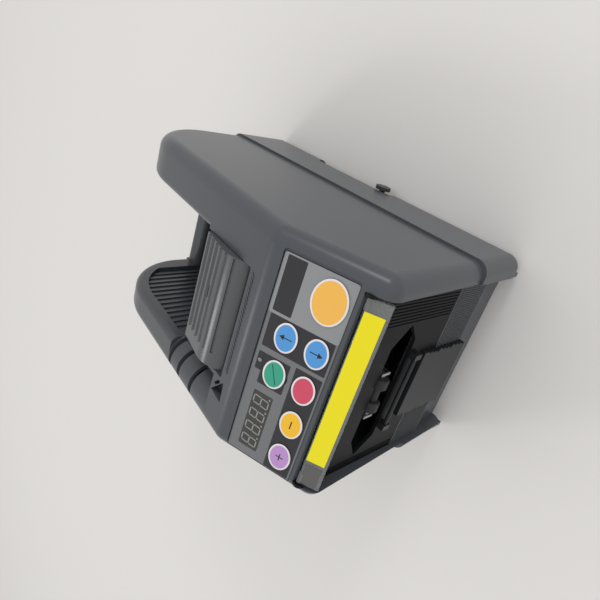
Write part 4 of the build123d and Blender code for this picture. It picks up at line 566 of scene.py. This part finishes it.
@dataclass
class Case:
    """The grey case: its plastic, the recess's web, a dark strip of painted shade in the inlet's gap and the
    dashes on the deck.
    """

    dash_count: int = 24
    dash_pitch: float = 2.35
    dash_length: float = 3.2
    dash_width: float = 0.95
    dash_height: float = 0.5
    dash_turn: float = math.radians(38.0)
    dash_corner: float = 0.3
    dash_bevel: float = 0.12
    rooted: float = 0.2
    first_x: float = -20.0
    deck_y: float = -51.0
    deck_slope: float = math.radians(-7.5)
    recess_floor_x: float = -46.9
    recess_depth: float = 2.3
    recess_low: tuple[float, float] = (17.2, 64.0)
    recess_high: tuple[float, float] = (105.0, 136.0)
    round_centre: tuple[float, float] = (52.6, 79.5)
    round_radius: float = 50.0
    round_turns: tuple[float, ...] = (7.5, 26.0, 44.5, 63.0, 81.5)
    # Place and size of a black strip of painted shade in the gap between the deck's edge and the guide.
    gap_shade_span: tuple[float, float] = (-26.0, 35.5)
    gap_shade_width: float = 0.9
    gap_shade_thick: float = 0.3
    gap_shade_corner: float = 0.2
    gap_shade_bevel: float = 0.08
    gap_shade_y: float = -47.35

    def dress(self) -> None:
        """Paint the case's own nodes."""
        paint(CASE, "upper_housing", "base_tray")
        paint(DARK_RUBBER, "rubber_feet")
        paint(SCREW, "housing_screws")

    def recess_backing(self) -> bpy.types.Object:
        """Model the web between the left arm's ribs: a plate cut to the arm's round.

        Returns:
            The web.
        """
        (front, bottom), (rear, top) = self.recess_low, self.recess_high
        middle = ((front + rear) / 2, (bottom + top) / 2)
        plate = Bench.plate("recess_web", rear - front, top - bottom, self.recess_depth)
        bpy.ops.object.mode_set(mode="EDIT")
        for turn in self.round_turns:
            way = (math.sin(math.radians(turn)), math.cos(math.radians(turn)))
            spot = [(self.round_centre[i] + self.round_radius * way[i] - middle[i]) * MM for i in (0, 1)]
            bpy.ops.mesh.select_all(action="SELECT")
            bpy.ops.mesh.bisect(plane_co=(*spot, 0), plane_no=(*way, 0), clear_outer=True, use_fill=True)
        Bench.close()
        stand = Matrix(((0, 0, 1, 0), (1, 0, 0, 0), (0, 1, 0, 0), (0, 0, 0, 1)))
        place = Matrix.Translation(Vector((self.recess_floor_x, *middle)) * MM) @ stand
        return Bench.place(plate, place, CASE, "case_abs", "case_body")

    def deck_place(self, x: float, y: float, out: float) -> Matrix:
        """Return a place on the deck behind the panel, with its local Z out of the deck.

        Args:
            x: Place across, in mm.
            y: Place along, in mm.
            out: Height over the deck, in mm.

        Returns:
            The matrix in metres.
        """
        panel = PanelFrame()
        spot = Vector((x, y, panel.apex_z + (y - panel.apex_y) * math.tan(self.deck_slope) + out))
        return Matrix.Translation(spot * MM) @ Matrix.Rotation(self.deck_slope, 4, "X")

    def inlet_gap_shade(self) -> bpy.types.Object:
        """Model a thin black strip along the deck's rear edge, in front of the guide: painted shade for the
        shadowed gap there.

        Returns:
            The strip of painted shade.
        """
        first, last = self.gap_shade_span
        gap_shade = Bench.plate("inlet_gap_shade", last - first, self.gap_shade_width, self.gap_shade_thick, self.gap_shade_corner,
                           self.gap_shade_bevel)
        place = self.deck_place((first + last) / 2, self.gap_shade_y, -self.rooted)
        # The strip is painted shade: black put where the gap in front of the guide lies in shadow.
        return Bench.place(gap_shade, place, BLACK_PLASTIC_AND_SHADE, "case_abs", "case_body")

    def build(self) -> list[bpy.types.Object]:
        """Model the recess web, the strip of painted shade in the inlet's gap and one dash, and repeat the
        dash along the deck.

        Returns:
            The web, the strip of painted shade, and the row of dashes as one piece.
        """
        dash = Bench.plate("dash", self.dash_length, self.dash_width, self.dash_height + self.rooted,
                           self.dash_corner, self.dash_bevel)
        dash.data.transform(Matrix.Rotation(self.dash_turn, 4, "Z"))
        row = [dash]
        for number in range(1, self.dash_count):
            row.append(Bench.copy(dash, Matrix.Translation((number * self.dash_pitch * MM, 0, 0))))
        dashes = Bench.merge("deck_dashes", row)
        matrix = self.deck_place(self.first_x, self.deck_y, -self.rooted)
        return [self.recess_backing(), self.inlet_gap_shade(),
                Bench.place(dashes, matrix, CASE, "case_abs", "case_body")]


@dataclass
class Zone:
    """One printed field of the panel's film, in mm from the film's corner."""

    name: str
    across: float
    up: float
    width: float
    rise: float
    finish: Finish
    corner: float = 0.6


@dataclass
class Film:
    """The printed film: its fields, a dark line of painted shade round its edge, the display's digits and
    the small lamp.
    """

    panel: PanelFrame = field(default_factory=PanelFrame)
    ink: float = 0.03
    zones: tuple[Zone, ...] = (
        Zone("silver_field", 80.9, 0.4, 30.1, 36.8, SILVER_FILM, 1.6),
        Zone("lower_dark_field", 0.7, 1.4, 60.4, 14.0, DARK_FILM),
        Zone("mode_dark_field", 43.3, 18.0, 16.7, 14.0, DARK_FILM),
        Zone("lamp_dark_field", 50.1, 31.9, 9.9, 3.5, DARK_FILM),
        Zone("arrow_dark_field", 63.2, 1.5, 17.6, 33.8, DARK_FILM),
        Zone("bare_dark_plate", 82.4, 25.5, 27.8, 9.8, DARK_FILM),
    )
    film_size: tuple[float, float] = (111.4, 37.6)
    # Width of the dark line of painted shade round the film's edge.
    line: float = 0.4
    lamp: tuple[float, float] = (55.4, 33.6)
    digit_count: int = 4
    digit_first: float = 8.8
    digit_pitch: float = 8.1
    digit_width: float = 4.3
    digit_height: float = 8.3
    digit_base: float = 22.6
    digit_slant: float = 0.12
    segment_width: float = 0.72
    segment_gap: float = 0.4
    slant_shift: float = 1.4
    point_radius: float = 0.5
    point_gap: float = 1.6
    lamp_radius: float = 1.1
    lamp_height: float = 0.3

    def dress(self) -> None:
        """Paint the panel's CAD nodes."""
        paint(GREY_FILM, "panel_overlay")
        paint(DISPLAY, "display_window")
        paint(BLACK_PLASTIC_AND_SHADE, "display_module", "dome_switches")
        paint(BOARD, "control_board")
        paint(SCREW, "board_screws")

    def build(self) -> list[bpy.types.Object]:
        """Model the dark line of painted shade round the edge, the printed fields, the digits and the lamp.

        Returns:
            The new pieces.
        """
        pieces = [self.edge_shade_line()]
        for level, zone in enumerate(self.zones):
            thick = self.ink * (2 if level else 1)
            plate = Bench.plate(zone.name, zone.width, zone.rise, thick, zone.corner)
            middle = self.panel.matrix(zone.across + zone.width / 2, zone.up + zone.rise / 2)
            pieces.append(Bench.place(plate, middle, zone.finish, "overlay_film", "case_body"))
        pieces.append(self.digits())
        pieces.append(self.small_lamp())
        return pieces

    def edge_shade_line(self) -> bpy.types.Object:
        """Model the dark line round the film's edge: painted shade for the shadowed gap at the film's sunk
        border.

        Returns:
            The four strokes as one piece.
        """
        wide, high = self.film_size
        across = Bench.plate("stroke_across", wide - self.line, self.line, self.ink)
        along = Bench.plate("stroke_along", self.line, high - self.line, self.ink)
        aside, up = (wide - self.line) / 2 * MM, (high - self.line) / 2 * MM
        strokes = []
        for side in (-1, 1):
            strokes.append(Bench.copy(across, Matrix.Translation((0, side * up, 0))))
            strokes.append(Bench.copy(along, Matrix.Translation((side * aside, 0, 0))))
        for stroke in (across, along):
            bpy.data.objects.remove(stroke)
        middle = self.panel.matrix(wide / 2, high / 2)
        # The dark finish here is painted shade: the line stands for the shadowed gap round the film.
        return Bench.place(Bench.merge("film_edge_shade_line", strokes), middle, INK_AND_EDGE_SHADE, "overlay_film", "case_body")

    def segment(self) -> bpy.types.Object:
        """Model one bar of a digit: six-sided, with pointed ends.

        Returns:
            The bar, along X.
        """
        bar = Bench.prism("segment", 6, self.segment_width / 2, self.ink * 2, 90.0)
        stretch = (self.digit_width - 1.6 * self.segment_width) / 2 * MM
        for side in (-1, 1):
            for vertex in bar.data.vertices:
                if vertex.co.x * side > 1e-6:
                    vertex.co.x += side * stretch
        return bar

    def digits(self) -> bpy.types.Object:
        """Repeat the bar seven times a digit, with a point beside each digit.

        Returns:
            All digits as one piece.
        """
        bar = self.segment()
        half_w, half_h = self.digit_width / 2, self.digit_height / 2
        shorter = (half_h - self.segment_gap) / (self.digit_width - self.segment_gap)
        upright = Matrix.Rotation(QUARTER_TURN, 4, "Z") @ Matrix.Scale(shorter, 4, (1, 0, 0))
        spots = [(0, half_h, False), (0, 0, False), (0, -half_h, False), (-half_w, half_h / 2, True),
                 (half_w, half_h / 2, True), (-half_w, -half_h / 2, True), (half_w, -half_h / 2, True)]
        bars = []
        for number in range(self.digit_count):
            shift = number * self.digit_pitch
            for x, y, stands in spots:
                place = Matrix.Translation(Vector((x + shift, y, 0)) * MM)
                bars.append(Bench.copy(bar, place @ upright if stands else place))
            dot = Bench.prism("point", 16, self.point_radius, self.ink * 2)
            spot = Vector((half_w + shift + self.point_gap, -half_h, 0))
            dot.data.transform(Matrix.Translation(spot * MM))
            bars.append(dot)
        bpy.data.objects.remove(bar)
        digits = Bench.merge("display_digits", bars)
        slant = Matrix.Identity(4)
        slant[0][1] = self.digit_slant
        digits.data.transform(slant)
        middle = self.panel.matrix(self.digit_first + half_w - self.slant_shift, self.digit_base + half_h)
        return Bench.place(digits, middle, SEGMENT, "window_tint", "case_body")

    def small_lamp(self) -> bpy.types.Object:
        """Model the small lamp beside the mode key as a shallow dome.

        Returns:
            The lamp.
        """
        Bench.start()
        bpy.ops.mesh.primitive_uv_sphere_add(segments=24, ring_count=12, radius=self.lamp_radius * MM)
        dome = bpy.context.object
        dome.name = "mode_lamp"
        bpy.ops.object.mode_set(mode="EDIT")
        bpy.ops.mesh.select_all(action="SELECT")
        bpy.ops.mesh.bisect(plane_co=(0, 0, 0), plane_no=(0, 0, 1), clear_inner=True, use_fill=True)
        bpy.ops.mesh.select_all(action="SELECT")
        bpy.ops.transform.resize(value=(1, 1, self.lamp_height))
        Bench.close()
        bpy.ops.object.shade_smooth()
        return Bench.place(dome, self.panel.matrix(*self.lamp), LED, "window_tint", "case_body")


class Sign(Enum):
    """The generic sign printed on a key."""

    PLUS = "plus"
    MINUS = "minus"
    SLASH = "slash"
    UP = "up"
    DOWN = "down"
    NONE = "none"


@dataclass
class Key:
    """One oval key: its colour, its place on the panel and its sign."""

    node: str
    across: float
    up: float
    half_width: float
    half_rise: float
    colour: Colour
    sign: Sign
    slot: str

    panel: PanelFrame = field(default_factory=PanelFrame)
    rim_width: float = 0.9
    seat: float = 0.48
    edge: float = 0.16
    crown: float = 0.1
    ink: float = 0.03
    stroke: float = 0.55
    plus_size: float = 4.2
    minus_size: tuple[float, float] = (4.4, 0.65)
    slash_size: tuple[float, float] = (10.4, 0.4)
    slash_turn: float = 24.0
    arrow_reach: float = 1.7
    arrow_length: float = 5.4
    arrow_shift: float = -0.5

    def finish(self) -> Finish:
        """Return the cap's finish, with its pale ring about the key's own axis."""
        centre = self.panel.matrix(self.across, self.up).to_translation()
        wide, high = self.half_width - self.rim_width, self.half_rise - self.rim_width
        return RimmedDisc(self.node + " cap", self.colour, roughness=0.36, centre=tuple(centre),
                          normal=self.panel.normal(), inner=high * MM, squeeze=high / wide, rim=PALE_RIM)

    def dress(self) -> None:
        """Paint the key's own node, which the cap covers, as the cap is."""
        paint(self.finish(), self.node)

    @staticmethod
    def way(turn: float, shift: float) -> Matrix:
        """Return a turn about the key's axis, with a move along the turned direction.

        Args:
            turn: The turn from across, in degrees.
            shift: The move, in mm.

        Returns:
            The matrix in metres.
        """
        return Matrix.Rotation(math.radians(turn), 4, "Z") @ Matrix.Translation((shift * MM, 0, 0))

    def bar(self, length: float, width: float, turn: float, shift: float = 0.0) -> bpy.types.Object:
        """Model one printed bar.

        Args:
            length: Its length, in mm.
            width: Its width, in mm.
            turn: Its direction from across, in degrees.
            shift: How far along its own direction it is moved, in mm.

        Returns:
            The bar.
        """
        bar = Bench.plate("sign_bar", length, width, self.ink * 2, width * 0.2)
        bar.data.transform(self.way(turn, shift))
        return bar

    def arrow(self, turn: float) -> list[bpy.types.Object]:
        """Model a printed arrow.

        Args:
            turn: Where it points, in degrees from across.

        Returns:
            Its parts.
        """
        head = Bench.prism("sign_head", 3, self.arrow_reach, self.ink * 2, turn - 90)
        head.data.transform(Matrix.Translation(self.way(turn, self.arrow_reach).to_translation()))
        return [head, self.bar(self.arrow_length, self.stroke, turn, self.arrow_shift)]

    def cap(self) -> bpy.types.Object:
        """Model the oval cap that stands for the key.

        Returns:
            The cap.
        """
        cap = Bench.oval(self.node + "_cap", self.half_width, self.half_rise, self.edge, self.crown)
        place = self.panel.matrix(self.across, self.up, self.seat)
        Bench.place(cap, place, self.finish(), self.slot, self.node + "_body")
        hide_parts(self.node)
        return cap

    def build(self) -> list[bpy.types.Object]:
        """Model the key's cap and its sign.

        Returns:
            The cap, and the sign as one piece where the key has one.
        """
        makers: dict[Sign, Callable[[], list[bpy.types.Object]]] = {
            Sign.PLUS: lambda: [self.bar(self.plus_size, self.stroke, turn) for turn in (0, 90)],
            Sign.MINUS: lambda: [self.bar(*self.minus_size, 0)],
            Sign.SLASH: lambda: [self.bar(*self.slash_size, self.slash_turn)],
            Sign.UP: lambda: self.arrow(90),
            Sign.DOWN: lambda: self.arrow(-90),
            Sign.NONE: lambda: [],
        }
        parts = makers[self.sign]()
        if not parts:
            return [self.cap()]
        sign = Bench.merge(self.node + "_sign", parts)
        top = self.seat + self.edge + self.crown
        place = self.panel.matrix(self.across, self.up, top - self.ink)
        return [self.cap(), Bench.place(sign, place, INK_AND_EDGE_SHADE, self.slot, self.node + "_body")]


@dataclass
class Front:
    """The black front plate, the outlet, the ribbed apron and the safety cover with its bare strips."""

    label_across: float = -48.6
    label_width: float = 12.5
    label_rise: float = 8.6
    cover_rear: tuple[float, float] = (-101.3, 134.2)
    cover_front: tuple[float, float] = (-112.9, 127.6)
    label_thick: float = 0.12
    label_corner: float = 0.5
    label_share: float = 0.46
    apron_y: float = -106.5
    apron_bottom: float = 33.0
    rib_pitch: float = 1.25
    rib_width: float = 0.65
    rib_proud: float = 0.35
    rib_rooted: float = 0.1
    rib_bevel: float = 0.15
    rib_side_gap: float = 1.0
    rib_top_gap: float = 1.2

    def dress(self) -> None:
        """Paint the front's CAD nodes."""
        paint(FRONT, "front_plate")
        paint(CATCH, "catch_plate", "rest_bar")
        paint(BLACK_PLASTIC_AND_SHADE, "cover_brackets")
        paint(WHEEL, "outlet_wheels")
        paint(STEEL, "wheel_bracket")
        paint(SCREW, "outlet_axle")
        paint(CLEAR, "safety_cover")
        paint(YELLOW, "cover_label")

    def apron_ribs(self) -> bpy.types.Object:
        """Model the fine upright ribs of the apron, on both sides of the catch plate.

        Returns:
            All ribs as one piece.
        """
        plate_low, plate_high = (Vector(corner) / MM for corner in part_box("front_plate"))
        catch_low, catch_high = (Vector(corner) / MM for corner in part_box("catch_plate"))
        gap = self.rib_side_gap
        spans = ((plate_low.x + gap, catch_low.x - gap), (catch_high.x + gap, plate_high.x - gap))
        bottom, top = self.apron_bottom, plate_low.z - self.rib_top_gap
        y, z = self.apron_y + self.rib_rooted, (bottom + top) / 2
        rib = Bench.plate("apron_rib", self.rib_width, top - bottom, self.rib_proud + self.rib_rooted, 0.0,
                          self.rib_bevel)
        upright = Matrix.Rotation(QUARTER_TURN, 4, "X")
        ribs = []
        for first, last in spans:
            for number in range(int((last - first) / self.rib_pitch) + 1):
                spot = Vector((first + number * self.rib_pitch, y, z))
                ribs.append(Bench.copy(rib, Matrix.Translation(spot * MM) @ upright))
        bpy.data.objects.remove(rib)
        joined = Bench.merge("apron_ribs", ribs)
        return Bench.place(joined, Matrix.Identity(4), APRON, "case_abs", "case_body")

    def build(self) -> list[bpy.types.Object]:
        """Model the apron's ribs and the small bare label on the cover's left end.

        Returns:
            The new pieces.
        """
        label = Bench.plate("bare_corner_label", self.label_width, self.label_rise, self.label_thick,
                            self.label_corner)
        (rear_y, rear_z), (front_y, front_z) = self.cover_rear, self.cover_front
        slope = math.atan2(rear_z - front_z, rear_y - front_y)
        middle = Vector((self.label_across, front_y + (rear_y - front_y) * self.label_share,
                         front_z + (rear_z - front_z) * self.label_share))
        place = Matrix.Translation(middle * MM) @ Matrix.Rotation(slope, 4, "X")
        return [self.apron_ribs(), Bench.place(label, place, LABEL_GREY, "label_yellow", "cover_body")]


@dataclass
class Mechanism:
    """The feed rollers, gears, motors, frames and cutter, and the ribbed guide over them."""

    arc_centre: tuple[float, float] = (-31.0, 135.5)
    arc_radius: float = 16.0
    rear_slope: float = math.radians(15.0)
    rib_backs: tuple[float, ...] = (0.0, 5.5, 11.0, 16.5, 21.5)
    rib_radius: float = 1.2
    rib_rise: float = 0.79
    rib_span: tuple[float, float] = (-18.5, 35.5)
    slot_back: float = 8.3
    slot_middle: float = 10.0
    # Size, thickness, corner and depth of a black plate of painted shade set under the guide's slot.
    slot_shade_size: tuple[float, float] = (6.9, 1.1)
    slot_shade_thick: float = 0.1
    slot_shade_corner: float = 0.3
    slot_shade_depth: float = 0.5

    def dress(self) -> None:
        """Paint the mechanism's CAD nodes."""
        paint(STEEL, "side_frame_left", "side_frame_right", "tie_rods", "blade_bar", "cutter_bridge",
              "guide_rods", "cutter_crank", "feed_shaft", "pinch_shaft", "cradle_axles")
        paint(BLADE, "fixed_blade", "moving_blade")
        paint(SCREW, "frame_screws", "blade_screws", "idler_pin", "guide_pin")
        paint(RUBBER, "feed_roller", "pinch_roller")
        paint(ACETAL, "feed_gear", "idler_gear", "motor_pinion")
        paint(BRASS, "roller_bushes")
        paint(MOTOR, "feed_motor", "cutter_motor")
        paint(BLACK_PLASTIC_AND_SHADE, "blade_carriage")
        paint(ROLLER, "cradle_roller_front", "cradle_roller_rear")
        paint(GUIDE, "tape_guide")

    def on_guide(self, x: float, back: float, out: float) -> Matrix:
        """Return a place on the guide's face, with its local Z out of the face.

        Args:
            x: Place across the guide, in mm.
            back: Distance behind the top of its round, in mm.
            out: Height over its face, in mm.

        Returns:
            The matrix in metres.
        """
        centre_y, centre_z = self.arc_centre
        crest = self.arc_radius * math.sin(self.rear_slope)
        if back > crest:
            turn = self.rear_slope
            z = centre_z + self.arc_radius * math.cos(turn) - (back - crest) * math.tan(turn)
        else:
            turn = math.asin(back / self.arc_radius)
            z = centre_z + self.arc_radius * math.cos(turn)
        spot = Vector((x, centre_y + back + out * math.sin(turn), z + out * math.cos(turn)))
        return Matrix.Translation(spot * MM) @ Matrix.Rotation(-turn, 4, "X")

    def build(self) -> list[bpy.types.Object]:
        """Model the guide's rounded ribs and a black plate of painted shade under its slot.

        Returns:
            The new pieces.
        """
        first, last = self.rib_span
        rib = Bench.rod("guide_rib", self.rib_radius, last - first)
        middle, height = (first + last) / 2, self.rib_rise - self.rib_radius
        ribs = [Bench.copy(rib, self.on_guide(middle, back, height)) for back in self.rib_backs]
        bpy.data.objects.remove(rib)
        joined = Bench.merge("guide_ribs", ribs)
        # A black plate below the slot: painted shade where the inside of the slot lies in shadow.
        slot = Bench.plate("guide_slot_shade", *self.slot_shade_size, self.slot_shade_thick, self.slot_shade_corner)
        place = self.on_guide(self.slot_middle, self.slot_back, -self.slot_shade_depth)
        return [
            Bench.place(joined, Matrix.Identity(4), GUIDE, "case_abs", "guide_body"),
            Bench.place(slot, place, BLACK_PLASTIC_AND_SHADE, "case_abs", "guide_body"),
        ]


@dataclass
class BaseFittings:
    """The socket, the switch, the power board and the side lever."""

    def dress(self) -> None:
        """Paint the fittings' CAD nodes."""
        paint(BLACK_PLASTIC_AND_SHADE, "power_jack", "rocker_frame", "power_rocker", "lever_slider")
        paint(KNOB, "lever_knob")
        paint(BOARD, "power_board")

    def build(self) -> list[bpy.types.Object]:
        """Return nothing: the fittings' shapes are all CAD nodes."""
        return []


@dataclass
class SoftLamp:
    """One round lamp: its place and size in metres, its watts, and whether glossy surfaces show it."""

    name: str
    place: Point
    size: float
    power: float
    mirrored: bool


@dataclass
class Studio:
    """The pale floor, the soft lamps, the world and the camera."""

    floor_size: float = 6.0
    floor_rim: float = 0.3
    floor_colour: Colour = linear(226, 223, 220)
    backdrop: Colour = linear(222, 221, 218)
    ambient: float = 0.78
    lamps: tuple[SoftLamp, ...] = (
        SoftLamp("key_lamp", (-0.75, 0.65, 1.25), 0.3, 2.0, True),
        SoftLamp("side_lamp", (1.45, -0.1, 0.75), 0.4, 5.0, True),
        SoftLamp("fill_lamp", (-1.1, -0.7, 1.3), 1.6, 1.6, False),
        SoftLamp("front_lamp", (0.9, -1.2, 0.9), 1.4, 2.6, False),
    )
    lamp_aim: Point = (0, 0, 0.06)
    eye: Point = (128.617, -208.028, 300.700)
    axes: tuple[Point, Point, Point] = (
        (0.28449681, -0.64665272, -0.70774418),
        (0.86399989, 0.49284497, -0.1029953),
        (0.41541035, -0.58218905, 0.6989207),
    )
    focal: float = 515.62
    sensor: float = 36.0
    frame_pixels: float = 600.0

    def build(self) -> list[bpy.types.Object]:
        """Set the stage.

        Returns:
            The floor.
        """
        bpy.context.scene.view_settings.view_transform = "Standard"
        self.world()
        for lamp in self.lamps:
            self.hang(lamp)
        self.camera()
        return [self.floor()]

    def floor(self) -> bpy.types.Object:
        """Model the floor as one wide flat disc, with a ring of faces at its edge.

        Returns:
            The floor.
        """
        Bench.start()
        bpy.ops.mesh.primitive_circle_add(vertices=96, radius=self.floor_size / 2, fill_type="NGON")
        floor = bpy.context.object
        floor.name = "floor"
        bpy.ops.object.mode_set(mode="EDIT")
        bpy.ops.mesh.select_all(action="SELECT")
        bpy.ops.mesh.inset(thickness=self.floor_rim)
        bpy.ops.object.mode_set(mode="OBJECT")
        floor.data.materials.append(Finish("floor", self.floor_colour, roughness=0.75).material())
        return floor

    def world(self) -> None:
        """Light evenly from all round, and show a plain pale backdrop to the eye and in reflections."""
        world = bpy.data.worlds.new("studio")
        bpy.context.scene.world = world
        world.use_nodes = True
        nodes, links = world.node_tree.nodes, world.node_tree.links
        nodes.clear()
        path = nodes.new("ShaderNodeLightPath")
        seen = nodes.new("ShaderNodeMath")
        seen.operation = "MAXIMUM"
        clear = nodes.new("ShaderNodeMath")
        clear.operation = "MAXIMUM"
        lit, shown = nodes.new("ShaderNodeBackground"), nodes.new("ShaderNodeBackground")
        lit.inputs["Color"].default_value = (1.0, 1.0, 1.0, 1.0)
        lit.inputs["Strength"].default_value = self.ambient
        shown.inputs["Color"].default_value = (*self.backdrop, 1.0)
        shown.inputs["Strength"].default_value = 1.0
        mix, out = nodes.new("ShaderNodeMixShader"), nodes.new("ShaderNodeOutputWorld")
        links.new(path.outputs["Is Camera Ray"], seen.inputs[0])
        links.new(path.outputs["Is Glossy Ray"], seen.inputs[1])
        links.new(seen.outputs[0], clear.inputs[0])
        links.new(path.outputs["Is Transmission Ray"], clear.inputs[1])
        links.new(clear.outputs[0], mix.inputs["Fac"])
        links.new(lit.outputs[0], mix.inputs[1])
        links.new(shown.outputs[0], mix.inputs[2])
        links.new(mix.outputs[0], out.inputs["Surface"])

    def hang(self, lamp: SoftLamp) -> None:
        """Hang one lamp so that it looks at the object.

        Args:
            lamp: The lamp.
        """
        light = bpy.data.lights.new(lamp.name, "AREA")
        light.shape = "DISK"
        light.size = lamp.size
        light.energy = lamp.power
        holder = bpy.data.objects.new(lamp.name, light)
        holder.location = lamp.place
        holder.visible_glossy = lamp.mirrored
        holder.rotation_mode = "QUATERNION"
        holder.rotation_quaternion = (Vector(self.lamp_aim) - Vector(lamp.place)).to_track_quat("-Z", "Y")
        bpy.context.scene.collection.objects.link(holder)

    def camera(self) -> None:
        """Set the camera where the photograph was taken from."""
        data = bpy.data.cameras.new("camera")
        data.sensor_width = self.sensor
        data.lens = self.sensor * self.focal / self.frame_pixels
        data.clip_start, data.clip_end = 0.01, 20.0
        camera = bpy.data.objects.new("camera", data)
        turn = Matrix(self.axes).transposed().to_4x4()
        camera.matrix_world = Matrix.Translation(Vector(self.eye) * MM) @ turn
        bpy.context.scene.collection.objects.link(camera)
        bpy.context.scene.camera = camera


def keys() -> list[Key]:
    """Return the seven keys of the panel."""
    small, large = (7.7, 6.0), (11.1, 8.85)
    blue = linear(76, 148, 212)
    return [
        Key("plus_key", 10.9, 8.4, *small, linear(184, 140, 200), Sign.PLUS, "key_purple"),
        Key("minus_key", 31.4, 8.4, *small, linear(240, 186, 30), Sign.MINUS, "key_yellow"),
        Key("select_key", 51.9, 8.4, *small, linear(206, 70, 98), Sign.NONE, "key_pink"),
        Key("mode_key", 51.9, 24.55, *small, linear(44, 158, 128), Sign.SLASH, "key_green"),
        Key("forward_key", 72.4, 24.55, *small, blue, Sign.UP, "key_blue"),
        Key("reverse_key", 72.4, 8.4, *small, blue, Sign.DOWN, "key_blue"),
        Key("start_key", 97.8, 10.8, *large, linear(240, 182, 78), Sign.NONE, "key_orange"),
    ]


def main() -> None:
    """Build and dress every sub-assembly in order, and report each piece."""
    logging.basicConfig(level=logging.INFO, format="%(name)s: %(message)s")
    assemblies = [Case(), Film(), Front(), Mechanism(), BaseFittings(), *keys()]
    for assembly in assemblies:
        assembly.dress()
        for piece in assembly.build():
            log.info("built %s", piece.name)
    for piece in Studio().build():
        log.info("set %s", piece.name)


if __name__ == "__main__":
    main()
